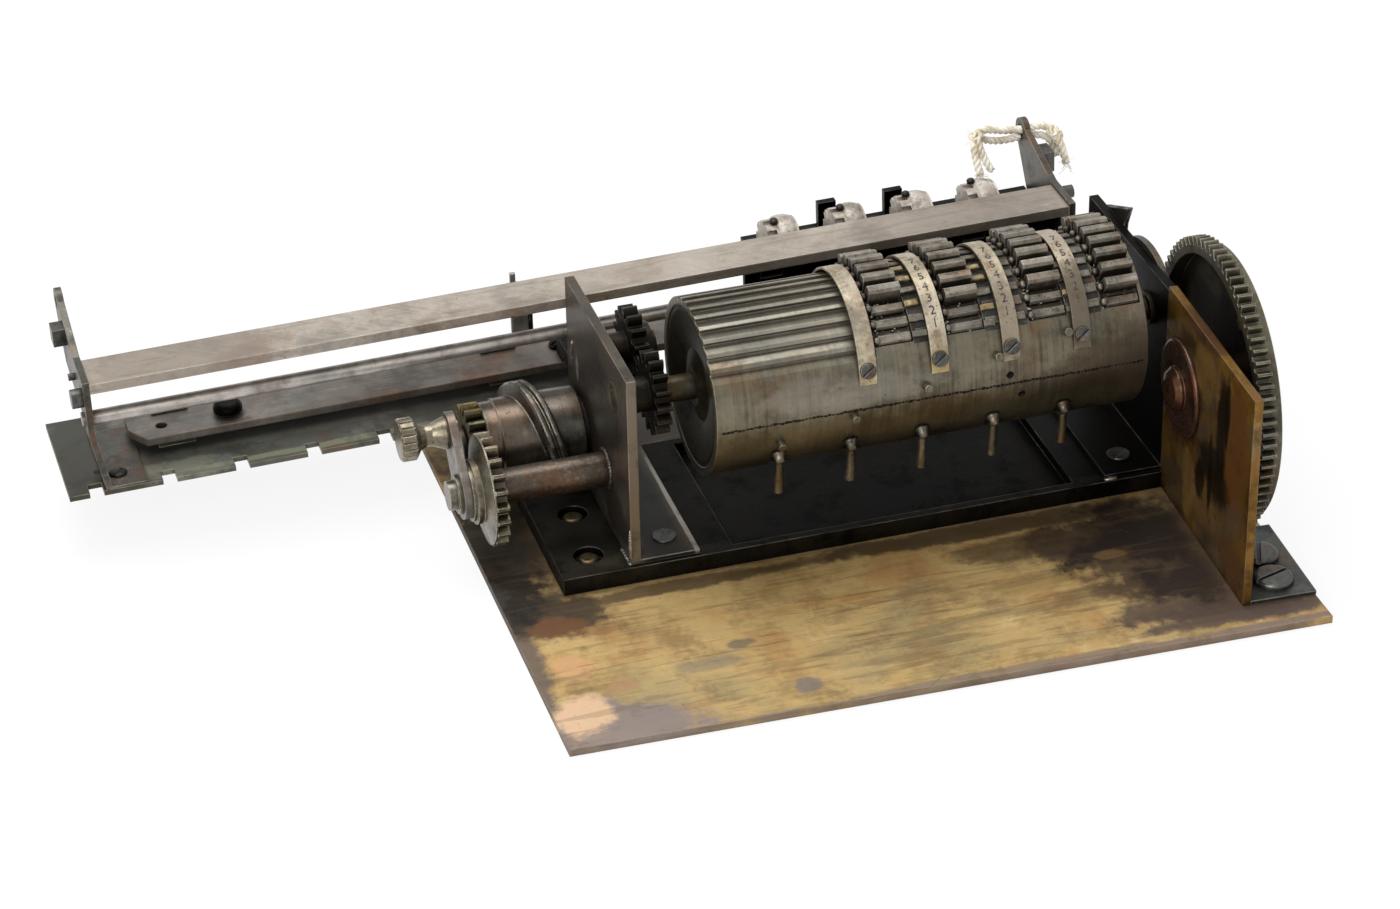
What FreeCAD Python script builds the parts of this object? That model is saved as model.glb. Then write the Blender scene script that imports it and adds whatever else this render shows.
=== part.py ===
"""Pinwheel calculating machine model: frame, setting drum, crank, shifting hub, big gear and carriage.

Millimetres. +X runs along the drum axis, +Y is the back, +Z is up.
The origin is on the base plate's underside, straight below the middle of the drum.
"""
import FreeCAD
import Part
import math
import os

os.makedirs("parts", exist_ok=True)

V = FreeCAD.Vector
X_AXIS = V(1, 0, 0)

# shared sizes
PITCH = 15.875
GEAR_MODULE = 25.4 / 24
RUNNING_GAP = 0.06
SIDE_GAP = 0.3
GEAR_BACKLASH = 0.16

# base and bed
BASE_THICKNESS = 1.7
BASE_LEFT_REACH = 29.0
BASE_RIGHT_REACH = 12.0
BASE_FRONT = -67.5
BASE_FRONT_SKEW = 4.5
BASE_BACK = 60.0
BED_THICKNESS = 4.0
BED_LEFT_REACH = 15.2
BED_FRONT = -11.5
BED_BACK = 36.0
RECESS_LENGTH = 77.6
RECESS_CENTRE = -3.2
RECESS_DEPTH = 2.4
RECESS_LIP = 2.0
BED_SCREW_RADIUS = 1.6
BED_SCREW_HEAD = 2.5
BED_SCREW_SEAT = 3.3
BED_SCREW_SINK = 2.1
BED_SCREW_TOP_DROP = 0.4

# side plates
AXIS_HEIGHT = 39.0
PLATE_THICKNESS = 2.1
PLATE_TOP = 9.7
PLATE_FRONT = -10.5
LEFT_PLATE_BACK = 36.9
RIGHT_PLATE_BACK = 35.0
FOOT_THICKNESS = 1.0
FOOT_LENGTH = 13.0
PLATE_SCREW_SET_BACK = 7.3
LEFT_PLATE_SCREW_OFFSET = 7.2
RIGHT_PLATE_SCREW_OFFSET = 6.9
PLATE_SCREW_RADIUS = 2.6
PLATE_SCREW_HEIGHT = 0.35

# bearing plate
BEARING_PLATE_LENGTH = 50.0
BEARING_PLATE_THICKNESS = 1.85
BEARING_PLATE_YAW = 2.5
BEARING_PLATE_TOP = 10.6
BEARING_FOOT_WIDTH = 14.6
BEARING_FOOT_THICKNESS = 0.9
BEARING_FOOT_LENGTH = 27.0
FOOT_SCREW_RADIUS = 4.3
FOOT_SCREW_HEIGHT = 1.6
FOOT_SCREW_FIRST = 6.2
FOOT_SCREW_SECOND = 15.7

# big gear
BIG_TEETH = 78
BIG_MODULE = 25.4 / 32
BIG_WIDTH = 5.0
BIG_TOOTH_WIDTH = 3.2
BIG_WEB = 1.8
BIG_HUB_RISE = 1.2
BIG_AXIS_Y = -20.6
BIG_AXIS_DROP = 8.6
BIG_GEAR_GAP = 4.0
BOSS_WASHER_RADIUS = 10.8
BOSS_WASHER_THICKNESS = 1.0
BOSS_DOME_RADIUS = 4.8
BOSS_DOME_HEIGHT = 2.6
AXLE_RADIUS = 3.0
COVER_RADIUS = 17.5
COVER_THICKNESS = 1.4
COVER_OFFSET_Y = 7.5
COVER_DROP = 6.4

# drum
DRUM_RADIUS = 19.05
DRUM_LENGTH = 95.6
DRUM_WALL = 3.6
DRUM_LEFT_GAP = 14.7
DRUM_RIGHT_GAP = 7.9
END_RIM = 1.7
END_DEPTH = 3.0
END_DISH = 1.4
SHAFT_RADIUS = 2.0
BUSH_RADIUS = 3.6
BUSH_LIP = 0.8
COLLAR_RADIUS = 2.8
COLLAR_LENGTH = 5.5
COLLAR_SEAT = 0.7
DRUM_GEAR_TEETH = 15
DRUM_GEAR_WIDTH = 3.2
DRUM_GEAR_GAP = 6.4
RIGHT_END_DEPTH = 1.2
END_SET_BACK = 0.2

# drum teeth and slots
TOOTH_STEP = 10.0
TOOTH_FIRST = 60.5
TEETH_PER_GROUP = 9
TOOTH_GROUP_REACHES = (59.0, 43.2, 24.8, 8.3)
TEETH_DRAWN_IN = (3, 2, 2, 1)
TOOTH_LENGTH = 7.0
TOOTH_WIDTH = 2.3
TOOTH_TIP = 22.2
TOOTH_LIFT = 2.7
TOOTH_SIDE_GAP = 0.05
WINDOW_DEPTH = 1.5
WINDOW_LEFT_MARGIN = 1.0
WINDOW_RIGHT_MARGIN = 0.5
FLUTE_WALL = 0.5
FLUTE_SLOPE = 2.1
FLUTE_DEPTH = 0.9

# digit strips
STRIP_GAPS = (1.6, 1.525, 4.05, 4.675)
STRIP_WIDTH = 3.8
STRIP_THICKNESS = 0.5
STRIP_ARCH = 1.8
STRIP_START = 48.0
STRIP_END = 167.0
STRIP_SCREW_ANGLE = 158.0
STRIP_SCREW_RADIUS = 1.7
STRIP_SCREW_HEIGHT = 0.8

# setting rings
RING_DISTANCE = 81.56
RING_COUNT = 5
RING_WIDTH = 5.0
RING_RADIUS = 12.4
RING_PIN_RADIUS = 0.8
RING_PIN_ANGLE = -149.0
RING_PIN_DROP = 9.0
RING_TRAVEL = 90.0
CARRY_ANGLES = (-161.0, -173.0, 174.5, 162.5, 155.0)
CARRY_RADIUS = 0.9
CARRY_HEIGHT = 1.8

# idler gear
IDLER_ANGLE = 9.0
IDLER_TEETH = 15
IDLER_DISC_RADIUS = 5.0
IDLER_DISC_LENGTH = 2.0
IDLER_HUB_RADIUS = 3.6
IDLER_STUD_RADIUS = 2.0

# crank
CRANK_TEETH = 21
CRANK_AXIS_Y = 7.5
CRANK_AXIS_DROP = 21.4
CRANK_GEAR_WIDTH = 2.7
CRANK_TUBE_RADIUS = 3.8
CRANK_TUBE_LENGTH = 23.9
CRANK_SPINDLE_RADIUS = 2.0
CRANK_FLANGE_RADIUS = 11.9
CRANK_COLLAR_LENGTH = 3.6
CRANK_COLLAR_RADIUS = 7.0
ARM_THICKNESS = 1.8
ARM_WIDTH = 11.0
ARM_LENGTH = 13.5
ARM_ANGLE = 48.0
NUT_RADIUS = 3.2
NUT_LENGTH = 2.6
KNOB_LENGTH = 10.5
KNOB_RADIUS = 4.7
KNOB_HEAD_LENGTH = 3.5
KNOB_NECK_RADIUS = 2.3
KNOB_BASE_RADIUS = 3.5

# shifting hub
HUB_TEETH = 15
HUB_PINION_WIDTH = 3.6
HUB_GAP = 1.2
HUB_RADIUS = 9.0
HUB_LENGTH = 21.4
HUB_STUD_RADIUS = 3.0
RIDGE_RADIUS = 11.9
RIDGE_WIDTH = 3.6
RIDGE_GROOVE = 1.2
RIDGE_START = 2.6
RIDGE_STEPS = 28

# carriage
SAG = 1.14
CARRIAGE_FRONT = 38.9
NOTCHED_LENGTH = 110.3
NOTCHED_TAIL = 10.5
NOTCHED_DEPTH = 32.0
NOTCHED_THICKNESS = 1.2
NOTCHED_DROP = 24.2
NOTCH_OFFSET = 4.4
NOTCH_COUNT = 7
NOTCH_WIDTH = 3.05
NOTCH_DEPTH = 3.6
BAR_LEFT_REACH = 103.0
BAR_LENGTH = 220.8
BAR_WIDTH = 11.0
BAR_THICKNESS = 2.3
BAR_TOP = 3.3
BRACKET_THICKNESS = 1.5
BRACKET_EYE_Y = 69.5
BRACKET_EYE_Z = 7.6
BRACKET_EYE_RADIUS = 3.0
BRACKET_HOLE_RADIUS = 1.6
BRACKET_LEG = 6.0
BRACKET_LEAN = 2.2
BRACKET_FOOT_THICKNESS = 0.6
BRACKET_FOOT_DEPTH = 24.0
BRACKET_FOOT_GAP = 3.2
BRACKET_ARM_DEPTH = 10.5
ROD_RADIUS = 1.6
ROD_Y = 43.0
ROD_DROP = 7.0
RAIL_LEFT_REACH = 94.2
RAIL_LENGTH = 126.0
RAIL_FRONT = 50.3
RAIL_WIDTH = 10.5
RAIL_THICKNESS = 1.8
RAIL_GAP = 2.0
RAIL_CORNER = 3.2
RAIL_HOLE_OFFSET = 7.2
RAIL_HOLE_RADIUS = 1.3
RAIL_KNOB_OFFSET = 22.0
RAIL_KNOB_RADIUS = 3.2
RAIL_KNOB_HEIGHT = 3.0
RAIL_SCREW_RADIUS = 2.1
RAIL_SCREW_EDGE = 3.2
RAIL_SCREW_OFFSET = 1.1
RAIL_BRACKET_THICKNESS = 1.8
RAIL_BRACKET_HOLD = 4.6
GUIDE_HOOK = 0.9
WHEEL_DISTANCE = 56.4
WHEEL_COUNT = 4
WHEEL_RADIUS = 6.0
WHEEL_WIDTH = 7.2
WHEEL_Y = 58.5
WHEEL_DROP = 4.2
WHEEL_SHAFT_RADIUS = 1.5
REAR_BAR_Y = 65.4
REAR_BAR_DEPTH = 1.6
REAR_BAR_HEIGHT = 5.0
TAB_WIDTH = 4.3
TAB_HEIGHT = 5.8
TAB_OFFSET = 2.3
APRON_REACH = 11.8
APRON_Y = 47.4
APRON_THICKNESS = 1.4
APRON_DROP = 9.0
LUG_RADIUS = 2.7
LUG_LENGTH = 5.2
LUG_OFFSET = 6.2
LEVER_OFFSET = 5.9
LEVER_WIDTH = 1.2
LEVER_THICKNESS = 0.8
LEVER_RISE = 4.9
LEVER_FALL = 6.5
SIDE_NUT = 4.0
SIDE_NUT_LENGTH = 2.8
SIDE_NUT_Y = 60.6
SIDE_NUT_RISE = 4.6
BAR_NUT_RADIUS = 2.1
BAR_NUT_LENGTH = 2.4
BAR_NUT_SETBACK = 3.1
BAR_NUT_DROP = 4.4
SMALL_STUD_RADIUS = 0.8
SMALL_STUD_SETBACK = 12.5
RIGHT_STUD_LENGTH = 7.0
RIGHT_BLOCK = 4.9
RIGHT_BLOCK_LENGTH = 3.4
RIGHT_BLOCK_Y = 63.0
RIGHT_BLOCK_RISE = 3.0
STRING_RADIUS = 0.95

# positions that follow from the sizes
BASE_TOP = BASE_THICKNESS
BED_TOP = BASE_TOP + BED_THICKNESS
AXIS_Z = BASE_TOP + AXIS_HEIGHT
DRUM_LEFT = -DRUM_LENGTH / 2
DRUM_RIGHT = DRUM_LENGTH / 2
LEFT_IN = DRUM_LEFT - DRUM_LEFT_GAP
LEFT_OUT = LEFT_IN - PLATE_THICKNESS
RIGHT_IN = DRUM_RIGHT + DRUM_RIGHT_GAP
RIGHT_OUT = RIGHT_IN + PLATE_THICKNESS
PLATE_TOP_Z = AXIS_Z + PLATE_TOP
BASE_LEFT = LEFT_OUT - BASE_LEFT_REACH
BASE_RIGHT = RIGHT_OUT + BASE_RIGHT_REACH
BIG_AXIS_Z = AXIS_Z - BIG_AXIS_DROP
BIG_TIP = BIG_MODULE * (BIG_TEETH / 2 + 1)
DRUM_BORE = DRUM_RADIUS - DRUM_WALL
WINDOW_RADIUS = DRUM_RADIUS - WINDOW_DEPTH
DRUM_GEAR_X = DRUM_LEFT - DRUM_GEAR_GAP - DRUM_GEAR_WIDTH
CRANK_AXIS_Z = AXIS_Z - CRANK_AXIS_DROP
CRANK_GEAR_X = LEFT_OUT - CRANK_TUBE_LENGTH - SIDE_GAP - CRANK_GEAR_WIDTH
HUB_AXIS_Y = CRANK_AXIS_Y + GEAR_MODULE * (CRANK_TEETH + HUB_TEETH) / 2
HUB_LEFT = LEFT_OUT - HUB_GAP - HUB_LENGTH
CARRIAGE_TOP_Z = AXIS_Z - NOTCHED_DROP + NOTCHED_THICKNESS
BAR_LEFT = LEFT_OUT - BAR_LEFT_REACH
BAR_RIGHT = BAR_LEFT + BAR_LENGTH
NOTCHED_LEFT = LEFT_OUT - NOTCHED_LENGTH
RAIL_BOTTOM = CARRIAGE_TOP_Z + RAIL_GAP
RAIL_LEFT = LEFT_OUT - RAIL_LEFT_REACH
BAR_TOP_Z = AXIS_Z + BAR_TOP
WHEEL_Z = AXIS_Z - WHEEL_DROP
ROD_Z = AXIS_Z - ROD_DROP


def save(name, shape):
    """Write one named piece."""
    shape.exportStep("parts/" + name + ".step")


def box(x0, x1, y0, y1, z0, z1):
    """Box between two corners."""
    return Part.makeBox(x1 - x0, y1 - y0, z1 - z0, V(x0, y0, z0))


def rod(x0, x1, radius, y=0.0, z=AXIS_Z):
    """Cylinder along X."""
    return Part.makeCylinder(radius, x1 - x0, V(x0, y, z), X_AXIS)


def tube(x0, x1, outer, inner, y=0.0, z=AXIS_Z):
    """Hollow cylinder along X."""
    return rod(x0, x1, outer, y, z).cut(rod(x0 - 1, x1 + 1, inner, y, z))


def post(x, y, z0, z1, radius):
    """Upright cylinder."""
    return Part.makeCylinder(radius, z1 - z0, V(x, y, z0))


def turned(points, y=0.0, z=AXIS_Z):
    """Revolve (x, radius) points about the X line through y, z."""
    corners = [V(x, y, z + radius) for x, radius in points]
    face = Part.Face(Part.makePolygon(corners + [corners[0]]))
    return face.revolve(V(0, y, z), X_AXIS, 360)


def slab_yz(points, x0, x1):
    """Prism along X from a list of (y, z) corners."""
    corners = [V(x0, y, z) for y, z in points]
    face = Part.Face(Part.makePolygon(corners + [corners[0]]))
    return face.extrude(V(x1 - x0, 0, 0))


def slab_xy(points, z0, z1):
    """Prism along Z from a list of (x, y) corners."""
    corners = [V(x, y, z0) for x, y in points]
    face = Part.Face(Part.makePolygon(corners + [corners[0]]))
    return face.extrude(V(0, 0, z1 - z0))


def turn(shape, degrees, y=0.0, z=AXIS_Z):
    """Copy turned about an X line; 0 points back (+Y) and 90 points up."""
    copy = shape.copy()
    copy.rotate(V(0, y, z), X_AXIS, degrees)
    return copy


def sag(shape):
    """Tip a level carriage piece about the left side plate."""
    copy = shape.copy()
    copy.rotate(V(LEFT_OUT, 0, CARRIAGE_TOP_Z), V(0, 1, 0), -SAG)
    return copy


def involute_half_angle(teeth, module, radius):
    """Half of a tooth's thickness at a radius, as an angle in radians."""
    pressure = math.radians(20)
    pitch_radius = module * teeth / 2
    base_radius = pitch_radius * math.cos(pressure)
    local = math.acos(min(1.0, base_radius / radius))
    start = math.pi / (2 * teeth) - GEAR_BACKLASH / (4 * pitch_radius)
    return start + math.tan(pressure) - pressure - math.tan(local) + local


def tooth_radii(teeth, module):
    """Radii at which a tooth's flank is drawn."""
    pitch_radius = module * teeth / 2
    foot = max(pitch_radius * math.cos(math.radians(20)), pitch_radius - 0.9 * module)
    return [foot, pitch_radius - 0.3 * module, pitch_radius + 0.4 * module, pitch_radius + module]


def gear_outline(teeth, module, phase):
    """Corners of a spur gear around the origin, as (y, z)."""
    root = module * (teeth / 2 - 1.25)
    radii = tooth_radii(teeth, module)
    halves = [involute_half_angle(teeth, module, radius) for radius in radii]
    outline = [(root, -halves[0])]
    outline += [(radius, -half) for radius, half in zip(radii, halves)]
    outline += [(radius, half) for radius, half in zip(reversed(radii), reversed(halves))]
    outline += [(root, halves[0])]
    points = []
    for index in range(teeth):
        centre = phase + 2 * math.pi * index / teeth
        points += [(r * math.cos(centre + a), r * math.sin(centre + a)) for r, a in outline]
    return points


def gear(teeth, module, x0, x1, y, z, phase=0.0):
    """Spur gear blank with teeth, axis along X."""
    points = gear_outline(teeth, module, math.radians(phase))
    return slab_yz([(y + a, z + b) for a, b in points], x0, x1)


def slotted_head(x, y, z0, radius, height, slot_turn):
    """Round-head screw seen from above, with its slot."""
    head = post(x, y, z0, z0 + height, radius)
    head = head.makeFillet(height * 0.6, [head.Edges[0]])
    slot = box(x - radius - 1, x + radius + 1, y - 0.45, y + 0.45, z0 + height * 0.55, z0 + height + 1)
    slot.rotate(V(x, y, 0), V(0, 0, 1), slot_turn)
    return head.cut(slot)


def compound(shapes):
    """Several separate solids kept as one node."""
    return Part.makeCompound(shapes)


# frame ---------------------------------------------------------------------

def place_bearing(shape):
    """Yaw a piece of the bearing plate about its back edge."""
    copy = shape.copy()
    copy.rotate(V(RIGHT_IN, PLATE_FRONT, 0), V(0, 0, 1), -BEARING_PLATE_YAW)
    return copy


def big_gear_x():
    """Left side of the big gear before the yaw."""
    return RIGHT_IN + BEARING_PLATE_THICKNESS + BIG_GEAR_GAP


def make_base():
    """Base plate with its skewed front edge and the big gear's slot."""
    half_skew = BASE_FRONT_SKEW / 2
    corners = [(BASE_LEFT, BASE_FRONT + half_skew), (BASE_RIGHT, BASE_FRONT - half_skew)]
    corners += [(BASE_RIGHT, BASE_BACK), (BASE_LEFT, BASE_BACK)]
    plate = slab_xy(corners, 0, BASE_TOP)
    x0 = big_gear_x() - 2 * SIDE_GAP
    gear_room = rod(x0, x0 + BIG_WIDTH + 4 * SIDE_GAP, BIG_TIP + SIDE_GAP, BIG_AXIS_Y, BIG_AXIS_Z)
    return plate.cut(place_bearing(gear_room))


def make_bed():
    """Bed plate with the recess below the drum and two countersunk holes."""
    left = LEFT_OUT - BED_LEFT_REACH
    bed = box(left, RIGHT_IN, BED_FRONT, BED_BACK, BASE_TOP, BED_TOP)
    half = RECESS_LENGTH / 2
    x0 = RECESS_CENTRE - half
    y0 = BED_FRONT + RECESS_LIP
    recess = box(x0, x0 + RECESS_LENGTH, y0, BED_BACK - RECESS_LIP, BED_TOP - RECESS_DEPTH, BED_TOP + 1)
    bed = bed.cut(recess)
    for x, y in bed_screw_places():
        bed = bed.cut(post(x, y, BED_TOP - BED_SCREW_SINK, BED_TOP + 1, BED_SCREW_SEAT))
        bed = bed.cut(post(x, y, BASE_TOP - 1, BED_TOP, BED_SCREW_RADIUS))
    return bed


def bed_screw_places():
    """Centres of the two brass screws left of the left side plate."""
    return [(LEFT_OUT - 7.6, BED_FRONT + 7.8), (LEFT_OUT - 6.4, BED_FRONT + 24.6)]


def bed_screw(x, y):
    """Round brass screw in its sunken seat."""
    seat = BED_TOP - BED_SCREW_SINK
    head = post(x, y, seat, BED_TOP - BED_SCREW_TOP_DROP, BED_SCREW_HEAD)
    head = head.makeFillet(BED_SCREW_HEAD * 0.5, [head.Edges[0]])
    return head.fuse(post(x, y, BASE_TOP, seat, BED_SCREW_RADIUS))


def make_side_plate(inner_x, outer_x, back, foot_end):
    """Upright side plate with an inward foot on the bed."""
    x0, x1 = sorted((inner_x, outer_x))
    bottom = BED_TOP if x1 <= RIGHT_IN else BASE_TOP
    plate = box(x0, x1, PLATE_FRONT, back, bottom, PLATE_TOP_Z)
    f0, f1 = sorted((inner_x, foot_end))
    foot = box(f0, f1, PLATE_FRONT, BED_BACK - RECESS_LIP, BED_TOP, BED_TOP + FOOT_THICKNESS)
    return plate.fuse(foot).removeSplitter()


def make_left_plate():
    """Left side plate with its bush, tube and stud seats."""
    plate = make_side_plate(LEFT_IN, LEFT_OUT, LEFT_PLATE_BACK, LEFT_IN + FOOT_LENGTH)
    return plate.cut(rod(LEFT_OUT - 1, LEFT_IN + 1, BUSH_RADIUS))


def make_right_plate():
    """Right side plate with the drum bush's hole."""
    plate = make_side_plate(RIGHT_IN, RIGHT_OUT, RIGHT_PLATE_BACK, RIGHT_IN - FOOT_LENGTH)
    return plate.cut(rod(RIGHT_IN - 1, RIGHT_OUT + 1, BUSH_RADIUS))


def make_bushes():
    """Two bronze bushes for the drum shaft."""
    left = tube(LEFT_OUT, LEFT_IN + BUSH_LIP, BUSH_RADIUS, SHAFT_RADIUS + RUNNING_GAP)
    right = tube(RIGHT_IN - BUSH_LIP, RIGHT_OUT, BUSH_RADIUS, SHAFT_RADIUS + RUNNING_GAP)
    return compound([left, right])


def make_cover_disc():
    """Round disc on the right side plate's outer face."""
    y = COVER_OFFSET_Y
    z = AXIS_Z - COVER_DROP
    disc = rod(RIGHT_OUT, RIGHT_OUT + COVER_THICKNESS, COVER_RADIUS, y, z)
    behind = box(RIGHT_OUT - 1, RIGHT_OUT + 9, PLATE_FRONT - 40, PLATE_FRONT + 1.2, 0, PLATE_TOP_Z)
    return disc.cut(behind)


def make_bearing_plate():
    """Brass plate that carries the big gear."""
    x1 = RIGHT_IN + BEARING_PLATE_THICKNESS
    y0 = PLATE_FRONT - BEARING_PLATE_LENGTH
    plate = box(RIGHT_IN, x1, y0, PLATE_FRONT, BASE_TOP, AXIS_Z + BEARING_PLATE_TOP)
    plate = plate.cut(rod(RIGHT_IN - 1, x1 + 1, AXLE_RADIUS, BIG_AXIS_Y, BIG_AXIS_Z))
    return place_bearing(plate)


def make_bearing_foot():
    """Thin foot of the bearing plate, lying on the base."""
    x0 = RIGHT_IN + BEARING_PLATE_THICKNESS
    y0 = PLATE_FRONT - BEARING_PLATE_LENGTH
    y1 = y0 + BEARING_FOOT_LENGTH
    foot = box(x0, x0 + BEARING_FOOT_WIDTH, y0, y1, BASE_TOP, BASE_TOP + BEARING_FOOT_THICKNESS)
    return place_bearing(foot)


def foot_screws():
    """Two big slotted screws on the bearing plate's foot."""
    z0 = BASE_TOP + BEARING_FOOT_THICKNESS
    x = RIGHT_IN + BEARING_PLATE_THICKNESS + BEARING_FOOT_WIDTH / 2
    y0 = PLATE_FRONT - BEARING_PLATE_LENGTH
    front = slotted_head(x, y0 + FOOT_SCREW_FIRST, z0, FOOT_SCREW_RADIUS, FOOT_SCREW_HEIGHT, 20)
    back = slotted_head(x + 0.4, y0 + FOOT_SCREW_SECOND, z0, FOOT_SCREW_RADIUS, FOOT_SCREW_HEIGHT, 70)
    return [place_bearing(front), place_bearing(back)]


def make_gear_boss():
    """Copper washer and dome with the big gear's stub axle."""
    x = RIGHT_IN
    washer_x = x - BOSS_WASHER_THICKNESS
    axle_end = big_gear_x() + BIG_WIDTH
    profile = [(washer_x - BOSS_DOME_HEIGHT, 0), (washer_x - BOSS_DOME_HEIGHT, BOSS_DOME_RADIUS * 0.45)]
    profile += [(washer_x - BOSS_DOME_HEIGHT * 0.75, BOSS_DOME_RADIUS * 0.8)]
    profile += [(washer_x - BOSS_DOME_HEIGHT * 0.3, BOSS_DOME_RADIUS), (washer_x, BOSS_DOME_RADIUS)]
    profile += [(washer_x, BOSS_WASHER_RADIUS - 0.5), (washer_x + 0.4, BOSS_WASHER_RADIUS)]
    profile += [(x, BOSS_WASHER_RADIUS), (x, AXLE_RADIUS), (axle_end, AXLE_RADIUS), (axle_end, 0)]
    boss = turned(profile, BIG_AXIS_Y, BIG_AXIS_Z)
    return place_bearing(boss.fuse(axle_spacer()))


def axle_spacer():
    """Spacer on the axle between the bearing plate and the big gear."""
    x0 = RIGHT_IN + BEARING_PLATE_THICKNESS
    x1 = big_gear_x() + BIG_WIDTH - BIG_WEB - BIG_HUB_RISE - SIDE_GAP
    return tube(x0, x1, AXLE_RADIUS + 3, AXLE_RADIUS, BIG_AXIS_Y, BIG_AXIS_Z)


def make_big_gear():
    """78-tooth wheel: toothed rim, plain band and a web set back from the left face."""
    x0 = big_gear_x()
    x1 = x0 + BIG_WIDTH
    rim_inside = BIG_TIP - 3.6
    root = BIG_MODULE * (BIG_TEETH / 2 - 1.25)
    wheel = gear(BIG_TEETH, BIG_MODULE, x0, x0 + BIG_TOOTH_WIDTH, BIG_AXIS_Y, BIG_AXIS_Z)
    wheel = wheel.fuse(rod(x0 + BIG_TOOTH_WIDTH, x1, root, BIG_AXIS_Y, BIG_AXIS_Z))
    wheel = wheel.cut(rod(x0 - 1, x1 - BIG_WEB, rim_inside, BIG_AXIS_Y, BIG_AXIS_Z))
    hub = rod(x1 - BIG_WEB - BIG_HUB_RISE, x1, AXLE_RADIUS + 4, BIG_AXIS_Y, BIG_AXIS_Z)
    stud = rod(x1 - BIG_WEB - 2.4, x1 - BIG_WEB, 1.3, BIG_AXIS_Y - 13.5, BIG_AXIS_Z + 22.0)
    wheel = wheel.fuse(hub).fuse(stud)
    bore = rod(x0 - 1, x1 + 1, AXLE_RADIUS + RUNNING_GAP, BIG_AXIS_Y, BIG_AXIS_Z)
    return place_bearing(wheel.cut(bore))


def make_frame_screws():
    """Slotted screws in the feet of the side plates and of the bearing plate."""
    z1 = BED_TOP + FOOT_THICKNESS
    y = PLATE_FRONT + PLATE_SCREW_SET_BACK
    left = slotted_head(LEFT_IN + LEFT_PLATE_SCREW_OFFSET, y, z1, PLATE_SCREW_RADIUS, PLATE_SCREW_HEIGHT, 65)
    right = slotted_head(RIGHT_IN - RIGHT_PLATE_SCREW_OFFSET, y, z1, PLATE_SCREW_RADIUS, PLATE_SCREW_HEIGHT, 40)
    return compound([left, right] + foot_screws())


# drum ----------------------------------------------------------------------

def at_angle(shape, degrees):
    """Turn a piece built at the back (+Y) of the drum to its own angle."""
    return turn(shape, degrees)


def tooth_block(x, low, high, gap=0.0):
    """Setting tooth at angle 0: a bar along X that stands out along +Y."""
    half = TOOTH_WIDTH / 2 + gap
    profile = [(low, AXIS_Z - half), (high - 0.7, AXIS_Z - half), (high, AXIS_Z - half * 0.6)]
    profile += [(high, AXIS_Z + half * 0.6), (high - 0.7, AXIS_Z + half), (low, AXIS_Z + half)]
    return slab_yz(profile, x - gap, x + TOOTH_LENGTH + gap)


def tooth_angle(index):
    """Angle of a tooth in its group, from the top down the front."""
    return TOOTH_FIRST + index * TOOTH_STEP


def window_angles():
    """Start and end of the toothed window around the drum."""
    half = TOOTH_STEP / 2
    return TOOTH_FIRST - half, tooth_angle(TEETH_PER_GROUP - 1) + half - 1


def ring_sector(x0, x1, inner, outer, start, end):
    """Part of a tube between two angles."""
    low = V(x0, inner * math.cos(math.radians(start)), AXIS_Z + inner * math.sin(math.radians(start)))
    high = V(x0, outer * math.cos(math.radians(start)), AXIS_Z + outer * math.sin(math.radians(start)))
    edge = Part.makeLine(low, high)
    face = edge.extrude(V(x1 - x0, 0, 0))
    return face.revolve(V(0, 0, AXIS_Z), X_AXIS, end - start)


def group_x(group):
    """Left end of a group's teeth."""
    return DRUM_RIGHT - TOOTH_GROUP_REACHES[group]


def strip_x(index):
    """Middle of a digit strip, which stands a gap to the left of its group's teeth."""
    return group_x(index) - STRIP_GAPS[index] - STRIP_WIDTH / 2


def moving_index(group):
    """The tooth of a group that is next to come out."""
    return TEETH_PER_GROUP - TEETH_DRAWN_IN[group]


def ring_x(index):
    """Middle of a setting ring along the drum."""
    return DRUM_RIGHT - RING_DISTANCE + index * PITCH


def make_flute():
    """Groove at angle 0, steep on one side and sloping out on the other."""
    floor = DRUM_RADIUS - FLUTE_DEPTH
    above = DRUM_RADIUS + 1
    profile = [(above, AXIS_Z - FLUTE_WALL), (floor, AXIS_Z - FLUTE_WALL), (floor, AXIS_Z)]
    profile += [(DRUM_RADIUS, AXIS_Z + FLUTE_SLOPE), (above, AXIS_Z + FLUTE_SLOPE)]
    return slab_yz(profile, DRUM_LEFT - 1, group_x(0) - WINDOW_LEFT_MARGIN)


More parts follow.
